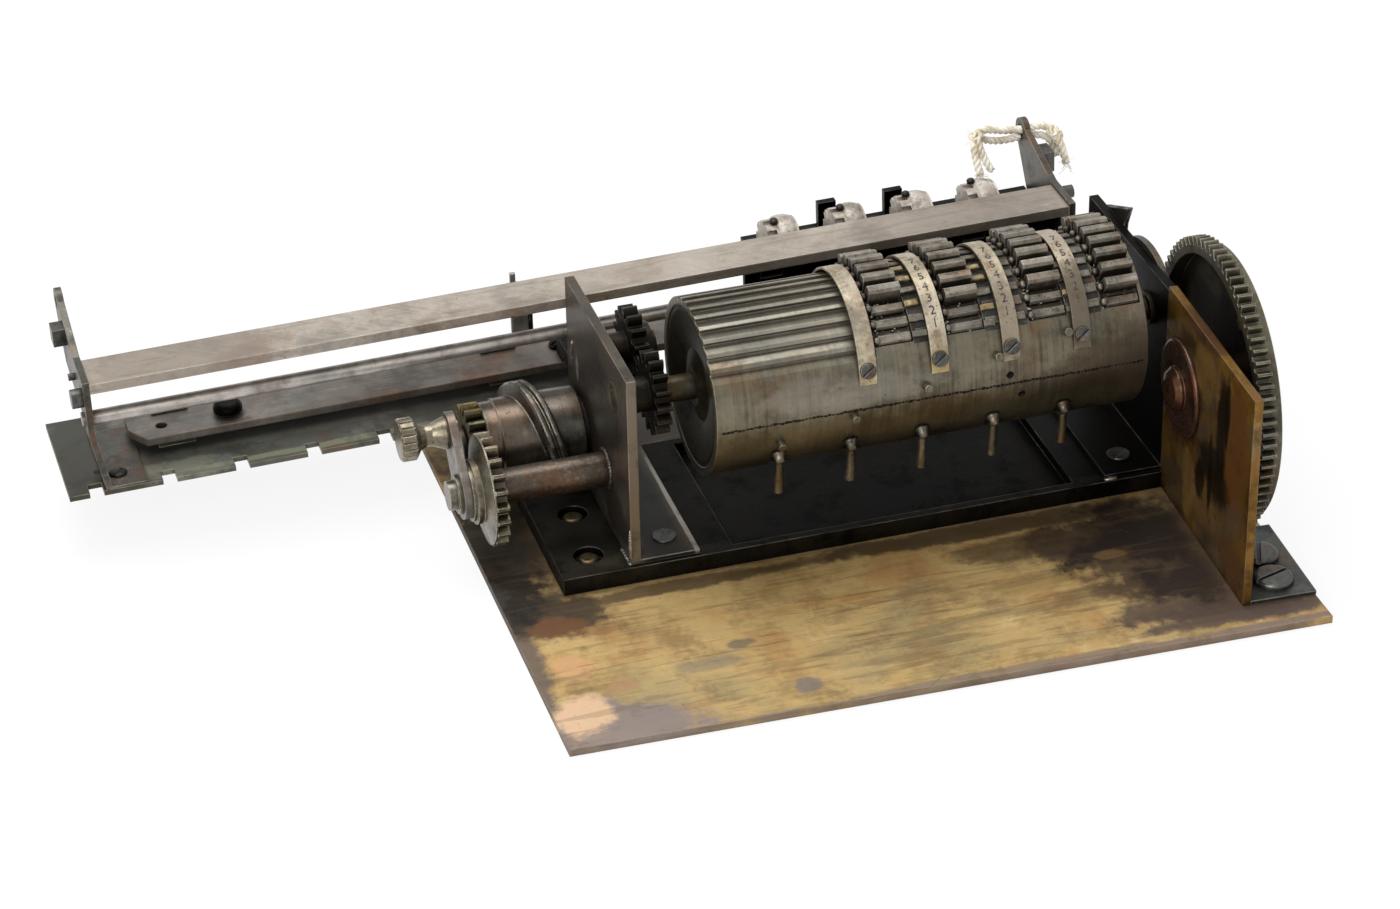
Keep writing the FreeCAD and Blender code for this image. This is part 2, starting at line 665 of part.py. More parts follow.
def make_drum_shell():
    """Hollow drum with end recesses, flutes, toothed windows, pin slots and tooth slots."""
    shell = tube(DRUM_LEFT, DRUM_RIGHT, DRUM_RADIUS, DRUM_BORE)
    seat = DRUM_RADIUS - END_RIM
    shell = shell.cut(rod(DRUM_LEFT - 1, DRUM_LEFT + END_DEPTH, seat))
    shell = shell.cut(rod(DRUM_RIGHT - RIGHT_END_DEPTH, DRUM_RIGHT + 1, seat))
    first, last = window_angles()
    for group in range(len(TOOTH_GROUP_REACHES)):
        x0 = group_x(group) - WINDOW_LEFT_MARGIN
        x1 = group_x(group) + TOOTH_LENGTH + WINDOW_RIGHT_MARGIN
        shell = shell.cut(ring_sector(x0, x1, WINDOW_RADIUS, DRUM_RADIUS + 1, first, last))
    flute = make_flute()
    for index in range(TEETH_PER_GROUP):
        shell = shell.cut(at_angle(flute, tooth_angle(index) + TOOTH_STEP / 2))
    for index in range(RING_COUNT):
        shell = shell.cut(pin_slot(index))
    for group in range(len(TOOTH_GROUP_REACHES)):
        hole = tooth_block(group_x(group), DRUM_BORE - 2, DRUM_RADIUS + 2, TOOTH_SIDE_GAP)
        shell = shell.cut(at_angle(hole, tooth_angle(moving_index(group))))
    return shell


def pin_slot(index):
    """Slot in the shell along which a setting pin swings."""
    half = RING_PIN_RADIUS + 0.25
    margin = math.degrees(half / DRUM_BORE)
    start = RING_PIN_ANGLE - margin
    end = RING_PIN_ANGLE + RING_TRAVEL + margin
    x = ring_x(index)
    return ring_sector(x - half, x + half, DRUM_BORE - 1, DRUM_RADIUS + 1, start, end)


def make_left_end():
    """Dished end disc with its boss on the shaft."""
    outer = DRUM_RADIUS - END_RIM
    face = DRUM_LEFT + END_SET_BACK
    back = DRUM_LEFT + END_DEPTH
    points = [(face, outer), (face, outer - 1.2), (face + END_DISH, outer * 0.45)]
    points += [(face + 0.3, COLLAR_RADIUS + 1.6), (face + 0.3, SHAFT_RADIUS)]
    points += [(back, SHAFT_RADIUS), (back, outer)]
    return turned(points)


def make_drum_ends():
    """Dished left end disc and thin right one, let out for the collars."""
    left = make_left_end().cut(rod(DRUM_LEFT - 1, DRUM_LEFT + COLLAR_SEAT, COLLAR_RADIUS))
    right = tube(DRUM_RIGHT - RIGHT_END_DEPTH, DRUM_RIGHT - END_SET_BACK, DRUM_RADIUS - END_RIM, SHAFT_RADIUS)
    right = right.cut(rod(DRUM_RIGHT - COLLAR_SEAT, DRUM_RIGHT + 1, COLLAR_RADIUS))
    return compound([left, right])


def make_drum_shaft():
    """Shaft through both bushes."""
    return rod(LEFT_OUT, RIGHT_OUT - 0.2, SHAFT_RADIUS)


def make_drum_collars():
    """Brass collar left of the drum and a plain one on the right."""
    left = tube(DRUM_LEFT - COLLAR_LENGTH, DRUM_LEFT + COLLAR_SEAT, COLLAR_RADIUS, SHAFT_RADIUS)
    right_end = RIGHT_IN - BUSH_LIP - SIDE_GAP
    right = tube(DRUM_RIGHT - COLLAR_SEAT, right_end, COLLAR_RADIUS, SHAFT_RADIUS)
    return compound([left, right])


def make_drum_gear():
    """15-tooth gear fixed on the drum shaft."""
    x1 = DRUM_GEAR_X + DRUM_GEAR_WIDTH
    wheel = gear(DRUM_GEAR_TEETH, GEAR_MODULE, DRUM_GEAR_X, x1, 0.0, AXIS_Z, IDLER_ANGLE)
    hub = rod(LEFT_IN + BUSH_LIP + SIDE_GAP, DRUM_GEAR_X, COLLAR_RADIUS + 1)
    return wheel.fuse(hub).cut(rod(LEFT_IN, DRUM_LEFT, SHAFT_RADIUS))


def make_idler():
    """15-tooth idler behind the drum gear, with its disc and hub."""
    distance = GEAR_MODULE * (DRUM_GEAR_TEETH + IDLER_TEETH) / 2
    y = distance * math.cos(math.radians(IDLER_ANGLE))
    z = AXIS_Z + distance * math.sin(math.radians(IDLER_ANGLE))
    x0 = DRUM_GEAR_X
    x1 = x0 + DRUM_GEAR_WIDTH
    wheel = gear(IDLER_TEETH, GEAR_MODULE, x0, x1, y, z, IDLER_ANGLE)
    wheel = wheel.fuse(rod(x1, x1 + IDLER_DISC_LENGTH, IDLER_DISC_RADIUS, y, z))
    wheel = wheel.fuse(rod(LEFT_IN + SIDE_GAP, x0, IDLER_HUB_RADIUS, y, z))
    return wheel.cut(rod(LEFT_IN, x1 + 9, IDLER_STUD_RADIUS + RUNNING_GAP, y, z))


def make_idler_stud():
    """Stud of the idler, fixed on the left side plate, with a retaining head."""
    distance = GEAR_MODULE * (DRUM_GEAR_TEETH + IDLER_TEETH) / 2
    y = distance * math.cos(math.radians(IDLER_ANGLE))
    z = AXIS_Z + distance * math.sin(math.radians(IDLER_ANGLE))
    end = DRUM_GEAR_X + DRUM_GEAR_WIDTH + IDLER_DISC_LENGTH + SIDE_GAP
    stud = rod(LEFT_IN, end, IDLER_STUD_RADIUS, y, z)
    return stud.fuse(rod(end, end + 0.8, IDLER_STUD_RADIUS + 1, y, z))


def make_strip(index):
    """Arched strip seated on the drum at both ends."""
    x0 = strip_x(index) - STRIP_WIDTH / 2
    middle = (STRIP_START + STRIP_END) / 2
    spread = math.radians(STRIP_END - STRIP_START) / 2
    offset = STRIP_ARCH / (1 - math.cos(spread))
    inner = DRUM_RADIUS + STRIP_ARCH - offset
    shift = V(0, offset * math.cos(math.radians(middle)), offset * math.sin(math.radians(middle)))
    band = ring_sector(x0, x0 + STRIP_WIDTH, inner, inner + STRIP_THICKNESS, STRIP_START - 12, STRIP_END + 12)
    band.translate(shift)
    keep = ring_sector(x0 - 1, x0 + STRIP_WIDTH + 1, 1, DRUM_RADIUS * 2, STRIP_START, STRIP_END)
    return band.common(keep).cut(rod(DRUM_LEFT, DRUM_RIGHT, DRUM_RADIUS))


def make_strip_screw(index):
    """Slotted screw at the lower end of a strip, before it is fitted."""
    x = strip_x(index)
    low = V(x, DRUM_RADIUS - 0.6, AXIS_Z)
    head = Part.makeCylinder(STRIP_SCREW_RADIUS, 0.6 + STRIP_THICKNESS + STRIP_SCREW_HEIGHT, low, V(0, 1, 0))
    top = DRUM_RADIUS + STRIP_THICKNESS + STRIP_SCREW_HEIGHT
    slot = box(x - 3, x + 3, top - 0.4, top + 1, AXIS_Z - 0.25, AXIS_Z + 0.25)
    return at_angle(head.cut(turn_slot(slot, x)), STRIP_SCREW_ANGLE)


def turn_slot(slot, x):
    """Slot turned a little on its own screw."""
    copy = slot.copy()
    copy.rotate(V(x, 0, AXIS_Z), V(0, 1, 0), 35)
    return copy


def make_teeth(group):
    """The teeth of one group that stay put: the raised ones and the lowest, drawn-in ones."""
    x = group_x(group)
    moving = moving_index(group)
    teeth = []
    for index in range(TEETH_PER_GROUP):
        if index == moving:
            continue
        high = TOOTH_TIP if index < moving else TOOTH_TIP - TOOTH_LIFT
        block = tooth_block(x, WINDOW_RADIUS - 0.4, high)
        block = block.cut(rod(DRUM_LEFT, DRUM_RIGHT, WINDOW_RADIUS))
        teeth.append(at_angle(block, tooth_angle(index)))
    return compound(teeth)


def make_moving_tooth(group):
    """The next tooth of a group, drawn in, free to slide out along its own radius."""
    x = group_x(group)
    block = tooth_block(x, RING_RADIUS + 0.4, TOOTH_TIP - TOOTH_LIFT)
    return at_angle(block, tooth_angle(moving_index(group)))


def pin_corner(radius, degrees):
    """Point in the drum's cross-section."""
    return radius * math.cos(math.radians(degrees)), AXIS_Z + radius * math.sin(math.radians(degrees))


def make_setting_ring(index):
    """Ring on the shaft with a pin that comes out through the shell and hangs down."""
    x = ring_x(index)
    half = RING_WIDTH / 2
    ring = tube(x - half, x + half, RING_RADIUS, SHAFT_RADIUS + RUNNING_GAP)
    low = pin_corner(RING_RADIUS - 1.5, RING_PIN_ANGLE)
    bend = pin_corner(DRUM_RADIUS + RING_PIN_RADIUS, RING_PIN_ANGLE)
    tip = (bend[0] + 0.9, bend[1] - RING_PIN_DROP)
    stem = pin_part(x, low, bend, RING_PIN_RADIUS, RING_PIN_RADIUS)
    elbow = Part.makeSphere(RING_PIN_RADIUS, V(x, *bend))
    hanging = pin_part(x, bend, tip, RING_PIN_RADIUS * 0.9, RING_PIN_RADIUS * 1.45)
    return ring.fuse(stem).fuse(elbow).fuse(hanging)


def pin_part(x, start, end, r0, r1):
    """Straight or tapered length of pin between two (y, z) points."""
    a = V(x, *start)
    b = V(x, *end)
    direction = b - a
    if abs(r0 - r1) < 1e-6:
        return Part.makeCylinder(r0, direction.Length, a, direction)
    return Part.makeCone(r0, r1, direction.Length, a, direction)


def make_carry_pins():
    """Short stubs standing on the drum."""
    pins = []
    for index, degrees in enumerate(CARRY_ANGLES):
        x = ring_x(index)
        pin = Part.makeCylinder(CARRY_RADIUS, CARRY_HEIGHT + 0.5, V(x, DRUM_RADIUS - 0.5, AXIS_Z), V(0, 1, 0))
        pin = pin.cut(rod(DRUM_LEFT, DRUM_RIGHT, DRUM_RADIUS))
        pins.append(at_angle(pin, degrees))
    return compound(pins)


# crank ---------------------------------------------------------------------

def make_crank_tube():
    """Fixed tube that carries the crank's spindle."""
    x0 = LEFT_OUT - CRANK_TUBE_LENGTH
    return tube(x0, LEFT_OUT, CRANK_TUBE_RADIUS, CRANK_SPINDLE_RADIUS + RUNNING_GAP, CRANK_AXIS_Y, CRANK_AXIS_Z)


def crank_spindle():
    """Spindle from the side plate out to the arm."""
    x0 = CRANK_GEAR_X - CRANK_COLLAR_LENGTH - ARM_THICKNESS - NUT_LENGTH * 0.6
    return rod(x0, LEFT_OUT - SIDE_GAP, CRANK_SPINDLE_RADIUS, CRANK_AXIS_Y, CRANK_AXIS_Z)


def make_crank_gear():
    """21-tooth gear with a dished flange and stepped collar."""
    y = CRANK_AXIS_Y
    z = CRANK_AXIS_Z
    x0 = CRANK_GEAR_X
    x1 = x0 + CRANK_GEAR_WIDTH
    wheel = gear(CRANK_TEETH, GEAR_MODULE, x0, x1, y, z)
    collar_x = x0 - CRANK_COLLAR_LENGTH
    dish = [(x0, 0), (x0, CRANK_FLANGE_RADIUS), (x0 - 0.35, CRANK_FLANGE_RADIUS)]
    dish += [(x0 - 1.3, CRANK_COLLAR_RADIUS + 1.2), (x0 - 1.5, CRANK_COLLAR_RADIUS)]
    dish += [(collar_x + 0.8, CRANK_COLLAR_RADIUS), (collar_x + 0.8, CRANK_COLLAR_RADIUS - 0.8)]
    dish += [(collar_x, CRANK_COLLAR_RADIUS - 0.8), (collar_x, 0)]
    wheel = wheel.fuse(turned(dish, y, z))
    return wheel.cut(rod(collar_x - 1, x1 + 1, CRANK_SPINDLE_RADIUS, y, z))


def make_crank_arm():
    """Flat arm, wide and round at the spindle and narrow at the knob."""
    x1 = CRANK_GEAR_X - CRANK_COLLAR_LENGTH
    x0 = x1 - ARM_THICKNESS
    y = CRANK_AXIS_Y
    z = CRANK_AXIS_Z
    half = ARM_WIDTH / 2
    tip = KNOB_BASE_RADIUS + 0.9
    lean = math.acos((half - tip) / ARM_LENGTH)
    profile = [(half * math.cos(lean), half * math.sin(lean)), (half * math.cos(lean), -half * math.sin(lean))]
    profile += [(ARM_LENGTH + tip * math.cos(lean), -tip * math.sin(lean))]
    profile += [(ARM_LENGTH + tip * math.cos(lean), tip * math.sin(lean))]
    web = slab_yz([(y + a, z + b) for a, b in profile], x0, x1)
    arm = web.fuse(rod(x0, x1, half, y, z)).fuse(rod(x0, x1, tip, y + ARM_LENGTH, z))
    arm = arm.cut(rod(x0 - 1, x1 + 1, CRANK_SPINDLE_RADIUS, y, z))
    arm = arm.cut(rod(x0 - 1, x1 + 1, KNOB_NECK_RADIUS * 0.6, y + ARM_LENGTH, z))
    return turn(arm, ARM_ANGLE, y, z)


def make_crank_spindle():
    """Spindle with the round stepped nut on its end."""
    x1 = CRANK_GEAR_X - CRANK_COLLAR_LENGTH - ARM_THICKNESS
    x0 = x1 - NUT_LENGTH
    nut = rod(x0, x1, NUT_RADIUS, CRANK_AXIS_Y, CRANK_AXIS_Z)
    washer = rod(x1 - 0.8, x1, NUT_RADIUS + 1, CRANK_AXIS_Y, CRANK_AXIS_Z)
    return crank_spindle().fuse(nut).fuse(washer)


def make_crank_knob():
    """Turned knob with a grooved head."""
    x1 = CRANK_GEAR_X - CRANK_COLLAR_LENGTH - ARM_THICKNESS
    x0 = x1 - KNOB_LENGTH
    head = x0 + KNOB_HEAD_LENGTH
    y = CRANK_AXIS_Y + ARM_LENGTH * math.cos(math.radians(ARM_ANGLE))
    z = CRANK_AXIS_Z + ARM_LENGTH * math.sin(math.radians(ARM_ANGLE))
    points = [(x0, 0), (x0, KNOB_RADIUS - 0.4), (x0 + 0.4, KNOB_RADIUS), (head - 0.4, KNOB_RADIUS)]
    points += [(head, KNOB_RADIUS - 0.5), (head + 0.9, KNOB_NECK_RADIUS + 0.6), (head + 2.2, KNOB_NECK_RADIUS)]
    points += [(head + 3.6, KNOB_NECK_RADIUS + 0.1), (head + 5.2, KNOB_BASE_RADIUS - 0.4)]
    points += [(x1 - 0.6, KNOB_BASE_RADIUS), (x1, KNOB_BASE_RADIUS)]
    points += [(x1, KNOB_NECK_RADIUS * 0.6), (x1 + ARM_THICKNESS, KNOB_NECK_RADIUS * 0.6), (x1 + ARM_THICKNESS, 0)]
    knob = turned(points, y, z)
    for index in range(18):
        groove = box(x0 - 1, head - 0.2, KNOB_RADIUS - 0.3, KNOB_RADIUS + 1, -0.25, 0.25)
        groove.translate(V(0, y, z))
        knob = knob.cut(turn(groove, index * 20, y, z))
    return knob


# hub -----------------------------------------------------------------------

def make_hub_stud():
    """Fixed stud that carries the shifting hub, with a retaining head."""
    end = HUB_LEFT - HUB_PINION_WIDTH - SIDE_GAP
    stud = rod(end, LEFT_OUT, HUB_STUD_RADIUS, HUB_AXIS_Y, CRANK_AXIS_Z)
    shoulder = rod(LEFT_OUT - HUB_GAP + SIDE_GAP, LEFT_OUT, HUB_RADIUS * 0.7, HUB_AXIS_Y, CRANK_AXIS_Z)
    head = rod(end - 1, end, HUB_STUD_RADIUS + 1.2, HUB_AXIS_Y, CRANK_AXIS_Z)
    return stud.fuse(shoulder).fuse(head)


def make_hub_pinion():
    """Brass pinion on the hub's left end."""
    x0 = HUB_LEFT - HUB_PINION_WIDTH
    wheel = gear(HUB_TEETH, GEAR_MODULE, x0, HUB_LEFT, HUB_AXIS_Y, CRANK_AXIS_Z)
    return wheel.cut(rod(x0 - 1, HUB_LEFT + 1, HUB_STUD_RADIUS + RUNNING_GAP, HUB_AXIS_Y, CRANK_AXIS_Z))


def ridge_section(degrees, x):
    """Closed cross-section of the double ridge at one angle."""
    half = RIDGE_WIDTH / 2
    groove = RIDGE_GROOVE / 2
    low = HUB_RADIUS - 0.6
    shape = [(-half - 0.9, low), (-half, RIDGE_RADIUS - 0.5), (-half + 0.5, RIDGE_RADIUS)]
    shape += [(-groove, RIDGE_RADIUS), (0, RIDGE_RADIUS - 0.8), (groove, RIDGE_RADIUS)]
    shape += [(half - 0.5, RIDGE_RADIUS), (half, RIDGE_RADIUS - 0.5), (half + 0.3, low)]
    angle = math.radians(degrees)
    corners = [V(x + a, r * math.cos(angle), r * math.sin(angle)) for a, r in shape]
    return Part.makePolygon(corners + [corners[0]])


def make_ridge():
    """One turn of ridge, in straight-sided steps from the bottom round the back and over the top."""
    start = HUB_LEFT + RIDGE_START
    sections = []
    for step in range(RIDGE_STEPS + 1):
        share = step / RIDGE_STEPS
        sections.append(ridge_section(-90 + 360 * share, start + PITCH * share))
    first = Part.makeLoft(sections, True, True)
    first.translate(V(0, HUB_AXIS_Y, CRANK_AXIS_Z))
    return first


def make_shift_hub():
    """Hub cylinder, its ridge and its bore."""
    x1 = HUB_LEFT + HUB_LENGTH
    points = [(HUB_LEFT, 0), (HUB_LEFT, HUB_RADIUS - 0.9), (HUB_LEFT + 0.3, HUB_RADIUS - 0.5)]
    points += [(HUB_LEFT + 3.0, HUB_RADIUS - 0.4), (HUB_LEFT + 3.1, HUB_RADIUS), (x1 - 0.4, HUB_RADIUS)]
    points += [(x1, HUB_RADIUS - 0.4), (x1, 0)]
    hub = turned(points, HUB_AXIS_Y, CRANK_AXIS_Z).fuse(make_ridge())
    inside = tube(HUB_LEFT, x1, RIDGE_RADIUS + 5, HUB_STUD_RADIUS + RUNNING_GAP, HUB_AXIS_Y, CRANK_AXIS_Z)
    return hub.common(inside)


# carriage ------------------------------------------------------------------

def make_notched_plate():
    """Long plate with one notch for each decimal place, whose tail passes behind the left side plate."""
    z1 = CARRIAGE_TOP_Z
    z0 = z1 - NOTCHED_THICKNESS
    y1 = CARRIAGE_FRONT + NOTCHED_DEPTH
    plate = box(NOTCHED_LEFT, LEFT_OUT + NOTCHED_TAIL, CARRIAGE_FRONT, y1, z0, z1)
    for index in range(NOTCH_COUNT):
        x = NOTCHED_LEFT + NOTCH_OFFSET + index * PITCH
        notch = box(x, x + NOTCH_WIDTH, CARRIAGE_FRONT - 1, CARRIAGE_FRONT + NOTCH_DEPTH, z0 - 1, z1 + 1)
        plate = plate.cut(notch)
    return sag(plate.fuse(rail_guides()))


def rail_guides():
    """Pads on the notched plate that run along the underside and back of the rail."""
    z0 = CARRIAGE_TOP_Z
    z1 = RAIL_BOTTOM - 0.05
    y1 = RAIL_FRONT + RAIL_WIDTH
    pads = []
    for x in (NOTCHED_LEFT + 22, LEFT_OUT - 14):
        under = box(x, x + 8, RAIL_FRONT + 2, y1 + 2.2, z0, z1)
        lip = box(x, x + 8, y1 + 0.1, y1 + 2.2, z0, z1 + RAIL_THICKNESS + 0.1)
        hook = box(x, x + 8, y1 - GUIDE_HOOK, y1 + 2.2, z1 + RAIL_THICKNESS + 0.1, z1 + RAIL_THICKNESS + 1.1)
        pads.append(under.fuse(lip).fuse(hook))
    return pads


def bracket_outline(leg_bottom):
    """Corners of an end bracket: a leg at the front and an arm going back and up."""
    y0 = CARRIAGE_FRONT
    top = BAR_TOP_Z
    eye_z = AXIS_Z + BRACKET_EYE_Z
    rise = BRACKET_EYE_RADIUS
    low = top - BRACKET_ARM_DEPTH
    points = [(y0, leg_bottom), (y0 + BRACKET_LEG, leg_bottom), (y0 + BRACKET_LEG + 1, low)]
    points += [(BRACKET_EYE_Y - 4, low + 2), (BRACKET_EYE_Y + rise, eye_z - 1), (BRACKET_EYE_Y + rise, eye_z)]
    points += [(BRACKET_EYE_Y - rise * 0.9, eye_z + rise * 0.4), (y0 + BAR_WIDTH + 0.6, top + 0.6), (y0, top + 0.6)]
    return points


def make_bracket(x0, leg_bottom):
    """End bracket with a round eye at its back."""
    x1 = x0 + BRACKET_THICKNESS
    eye_z = AXIS_Z + BRACKET_EYE_Z
    plate = slab_yz(bracket_outline(leg_bottom), x0, x1)
    plate = plate.fuse(rod(x0, x1, BRACKET_EYE_RADIUS, BRACKET_EYE_Y, eye_z))
    plate = plate.cut(rod(x0 - 1, x1 + 1, BRACKET_HOLE_RADIUS, BRACKET_EYE_Y, eye_z))
    plate = plate.cut(rod(x0 - 1, x1 + 1, ROD_RADIUS, ROD_Y, ROD_Z))
    return plate.cut(rod(x0 - 1, x1 + 1, WHEEL_SHAFT_RADIUS, WHEEL_Y, WHEEL_Z))


def leaning_leg(x0, top):
    """Lower part of the left bracket, bent towards the notched plate's middle."""
    x1 = x0 + BRACKET_THICKNESS
    low = CARRIAGE_TOP_Z
    corners = [(x0, top), (x1, top), (x1 + BRACKET_LEAN, low), (x0 + BRACKET_LEAN, low)]
    face = Part.Face(Part.makePolygon([V(x, CARRIAGE_FRONT, z) for x, z in corners + corners[:1]]))
    return face.extrude(V(0, BRACKET_LEG, 0))


def make_left_bracket():
    """Left bracket, standing on the notched plate with a wide thin foot."""
    x0 = BAR_LEFT - BRACKET_THICKNESS
    bend = ROD_Z - ROD_RADIUS - 1.0
    foot_left = x0 + BRACKET_LEAN
    foot_right = NOTCHED_LEFT + NOTCH_OFFSET + PITCH - BRACKET_FOOT_GAP
    z1 = CARRIAGE_TOP_Z + BRACKET_FOOT_THICKNESS
    foot = box(foot_left, foot_right, CARRIAGE_FRONT, CARRIAGE_FRONT + BRACKET_FOOT_DEPTH, CARRIAGE_TOP_Z, z1)
    return sag(make_bracket(x0, bend).fuse(leaning_leg(x0, bend)).fuse(foot))


def make_right_bracket():
    """Right bracket; its leg stops below the rod."""
    return sag(make_bracket(BAR_RIGHT, ROD_Z - 2 * ROD_RADIUS))


def make_top_bar():
    """Flat bar between the brackets."""
    y1 = CARRIAGE_FRONT + BAR_WIDTH
    return sag(box(BAR_LEFT, BAR_RIGHT, CARRIAGE_FRONT, y1, BAR_TOP_Z - BAR_THICKNESS, BAR_TOP_Z))


def make_carriage_rod():
    """Round rod between the brackets."""
    x0 = BAR_LEFT - BRACKET_THICKNESS - 0.6
    x1 = BAR_RIGHT + BRACKET_THICKNESS + 0.6
    return sag(rod(x0, x1, ROD_RADIUS, ROD_Y, ROD_Z))


def make_wheel_shaft():
    """Shaft of the number wheels, from bracket to bracket."""
    x0 = BAR_LEFT - BRACKET_THICKNESS
    x1 = BAR_RIGHT + BRACKET_THICKNESS
    return sag(rod(x0, x1, WHEEL_SHAFT_RADIUS, WHEEL_Y, WHEEL_Z))


def make_number_wheel(index):
    """Number wheel with shallow finger notches round its rim."""
    x0 = wheel_x(index) - WHEEL_WIDTH / 2
    wheel = rod(x0, x0 + WHEEL_WIDTH, WHEEL_RADIUS, WHEEL_Y, WHEEL_Z)
    for step in range(10):
        groove = rod(x0 - 1, x0 + WHEEL_WIDTH * 0.3, 0.9, WHEEL_Y + WHEEL_RADIUS, WHEEL_Z)
        wheel = wheel.cut(turn(groove, step * 36 + 18, WHEEL_Y, WHEEL_Z))
    bore = rod(x0 - 1, x0 + WHEEL_WIDTH + 1, WHEEL_SHAFT_RADIUS + RUNNING_GAP, WHEEL_Y, WHEEL_Z)
    return sag(wheel.cut(bore))


def wheel_x(index):
    """Middle of a number wheel along its shaft."""
    return DRUM_RIGHT - WHEEL_DISTANCE + index * PITCH


def make_rear_bar():
    """Dark bar behind the number wheels with two upright tabs."""
    x0 = wheel_x(0) - WHEEL_WIDTH / 2 - 3
    y1 = REAR_BAR_Y + REAR_BAR_DEPTH
    top = WHEEL_Z - 1.2
    bar = box(x0, BAR_RIGHT, REAR_BAR_Y, y1, top - REAR_BAR_HEIGHT, top)
    for index in (1, 2):
        x = wheel_x(index) - TAB_OFFSET - TAB_WIDTH / 2
        bar = bar.fuse(box(x, x + TAB_WIDTH, REAR_BAR_Y, y1, top, top + TAB_HEIGHT))
    return bar.removeSplitter()


def make_apron():
    """Dark plate hanging under the top bar, with a round lug in front for each wheel."""
    x0 = wheel_x(0) - APRON_REACH
    z1 = BAR_TOP_Z - BAR_THICKNESS
    apron = box(x0, BAR_RIGHT, APRON_Y, APRON_Y + APRON_THICKNESS, z1 - APRON_DROP, z1)
    for index in range(WHEEL_COUNT):
        x = wheel_x(index) - LUG_OFFSET - LUG_LENGTH / 2
        apron = apron.fuse(rod(x, x + LUG_LENGTH, LUG_RADIUS, APRON_Y, z1 - LUG_RADIUS - 1))
    return apron


def make_carriage_nuts():
    """Nuts and studs outside the two brackets."""
    left = BAR_LEFT - BRACKET_THICKNESS
    right = BAR_RIGHT + BRACKET_THICKNESS
    half = SIDE_NUT / 2
    z = AXIS_Z + SIDE_NUT_RISE
    square = box(left - SIDE_NUT_LENGTH, left, SIDE_NUT_Y - half, SIDE_NUT_Y + half, z - half, z + half)
    z = BAR_TOP_Z - BAR_NUT_DROP
    bar_nut = rod(left - BAR_NUT_LENGTH, left, BAR_NUT_RADIUS, CARRIAGE_FRONT + BAR_NUT_SETBACK, z)
    small = rod(left - SIDE_NUT_LENGTH / 2, left, SMALL_STUD_RADIUS, CARRIAGE_FRONT + SMALL_STUD_SETBACK, z)
    stud = rod(right, right + RIGHT_STUD_LENGTH, WHEEL_SHAFT_RADIUS, WHEEL_Y, WHEEL_Z)
    half = RIGHT_BLOCK / 2
    z = AXIS_Z + RIGHT_BLOCK_RISE
    block = box(right, right + RIGHT_BLOCK_LENGTH, RIGHT_BLOCK_Y - half, RIGHT_BLOCK_Y + half, z - half, z + half)
    return sag(compound([square, bar_nut, small, stud, block]))


def make_lever():
    """Small flat upright lever held on the wheel shaft."""
    x = LEFT_OUT - LEVER_OFFSET
    half = LEVER_THICKNESS / 2
    clip = rod(x - LEVER_WIDTH, x + LEVER_WIDTH, WHEEL_SHAFT_RADIUS + 0.8, WHEEL_Y, WHEEL_Z)
    x0 = x - LEVER_WIDTH / 2
    stem = box(x0, x0 + LEVER_WIDTH, WHEEL_Y - half, WHEEL_Y + half, WHEEL_Z - LEVER_FALL, WHEEL_Z + LEVER_RISE)
    bore = rod(x - 2 * LEVER_WIDTH, x + 2 * LEVER_WIDTH, WHEEL_SHAFT_RADIUS, WHEEL_Y, WHEEL_Z)
    return sag(clip.fuse(stem).cut(bore))


def make_rail():
    """Fixed guide rail with a sloping left end and a small hole."""
    x1 = RAIL_LEFT + RAIL_LENGTH
    y1 = RAIL_FRONT + RAIL_WIDTH
    corners = [(RAIL_LEFT + RAIL_CORNER, RAIL_FRONT), (x1, RAIL_FRONT), (x1, y1), (RAIL_LEFT, y1)]
    corners += [(RAIL_LEFT, RAIL_FRONT + RAIL_CORNER * 1.6)]
    rail = slab_xy(corners, RAIL_BOTTOM, RAIL_BOTTOM + RAIL_THICKNESS)
    x = RAIL_LEFT + RAIL_HOLE_OFFSET
    hole = post(x, RAIL_FRONT + RAIL_WIDTH * 0.45, RAIL_BOTTOM - 1, RAIL_BOTTOM + RAIL_THICKNESS + 1, RAIL_HOLE_RADIUS)
    return sag(rail.cut(hole))


def make_rail_screws():
    """Domed knob near the rail's left end and two slotted screws."""
    z0 = RAIL_BOTTOM + RAIL_THICKNESS
    x = RAIL_LEFT + RAIL_KNOB_OFFSET
    y = RAIL_FRONT + RAIL_WIDTH * 0.45
    neck = post(x, y, z0, z0 + RAIL_KNOB_HEIGHT / 2, RAIL_KNOB_RADIUS * 0.7)
    knob = post(x, y, z0 + RAIL_KNOB_HEIGHT * 0.3, z0 + RAIL_KNOB_HEIGHT, RAIL_KNOB_RADIUS)
    knob = knob.makeFillet(RAIL_KNOB_HEIGHT * 0.4, [knob.Edges[0]]).fuse(neck)
    x = LEFT_IN + RAIL_SCREW_OFFSET
    y = RAIL_FRONT + RAIL_WIDTH - RAIL_SCREW_EDGE
    first = slotted_head(x, y, z0, RAIL_SCREW_RADIUS, 1.2, 30)
    second = slotted_head(x + PITCH, y, z0, RAIL_SCREW_RADIUS, 1.2, 75)
    return sag(compound([knob, first, second]))


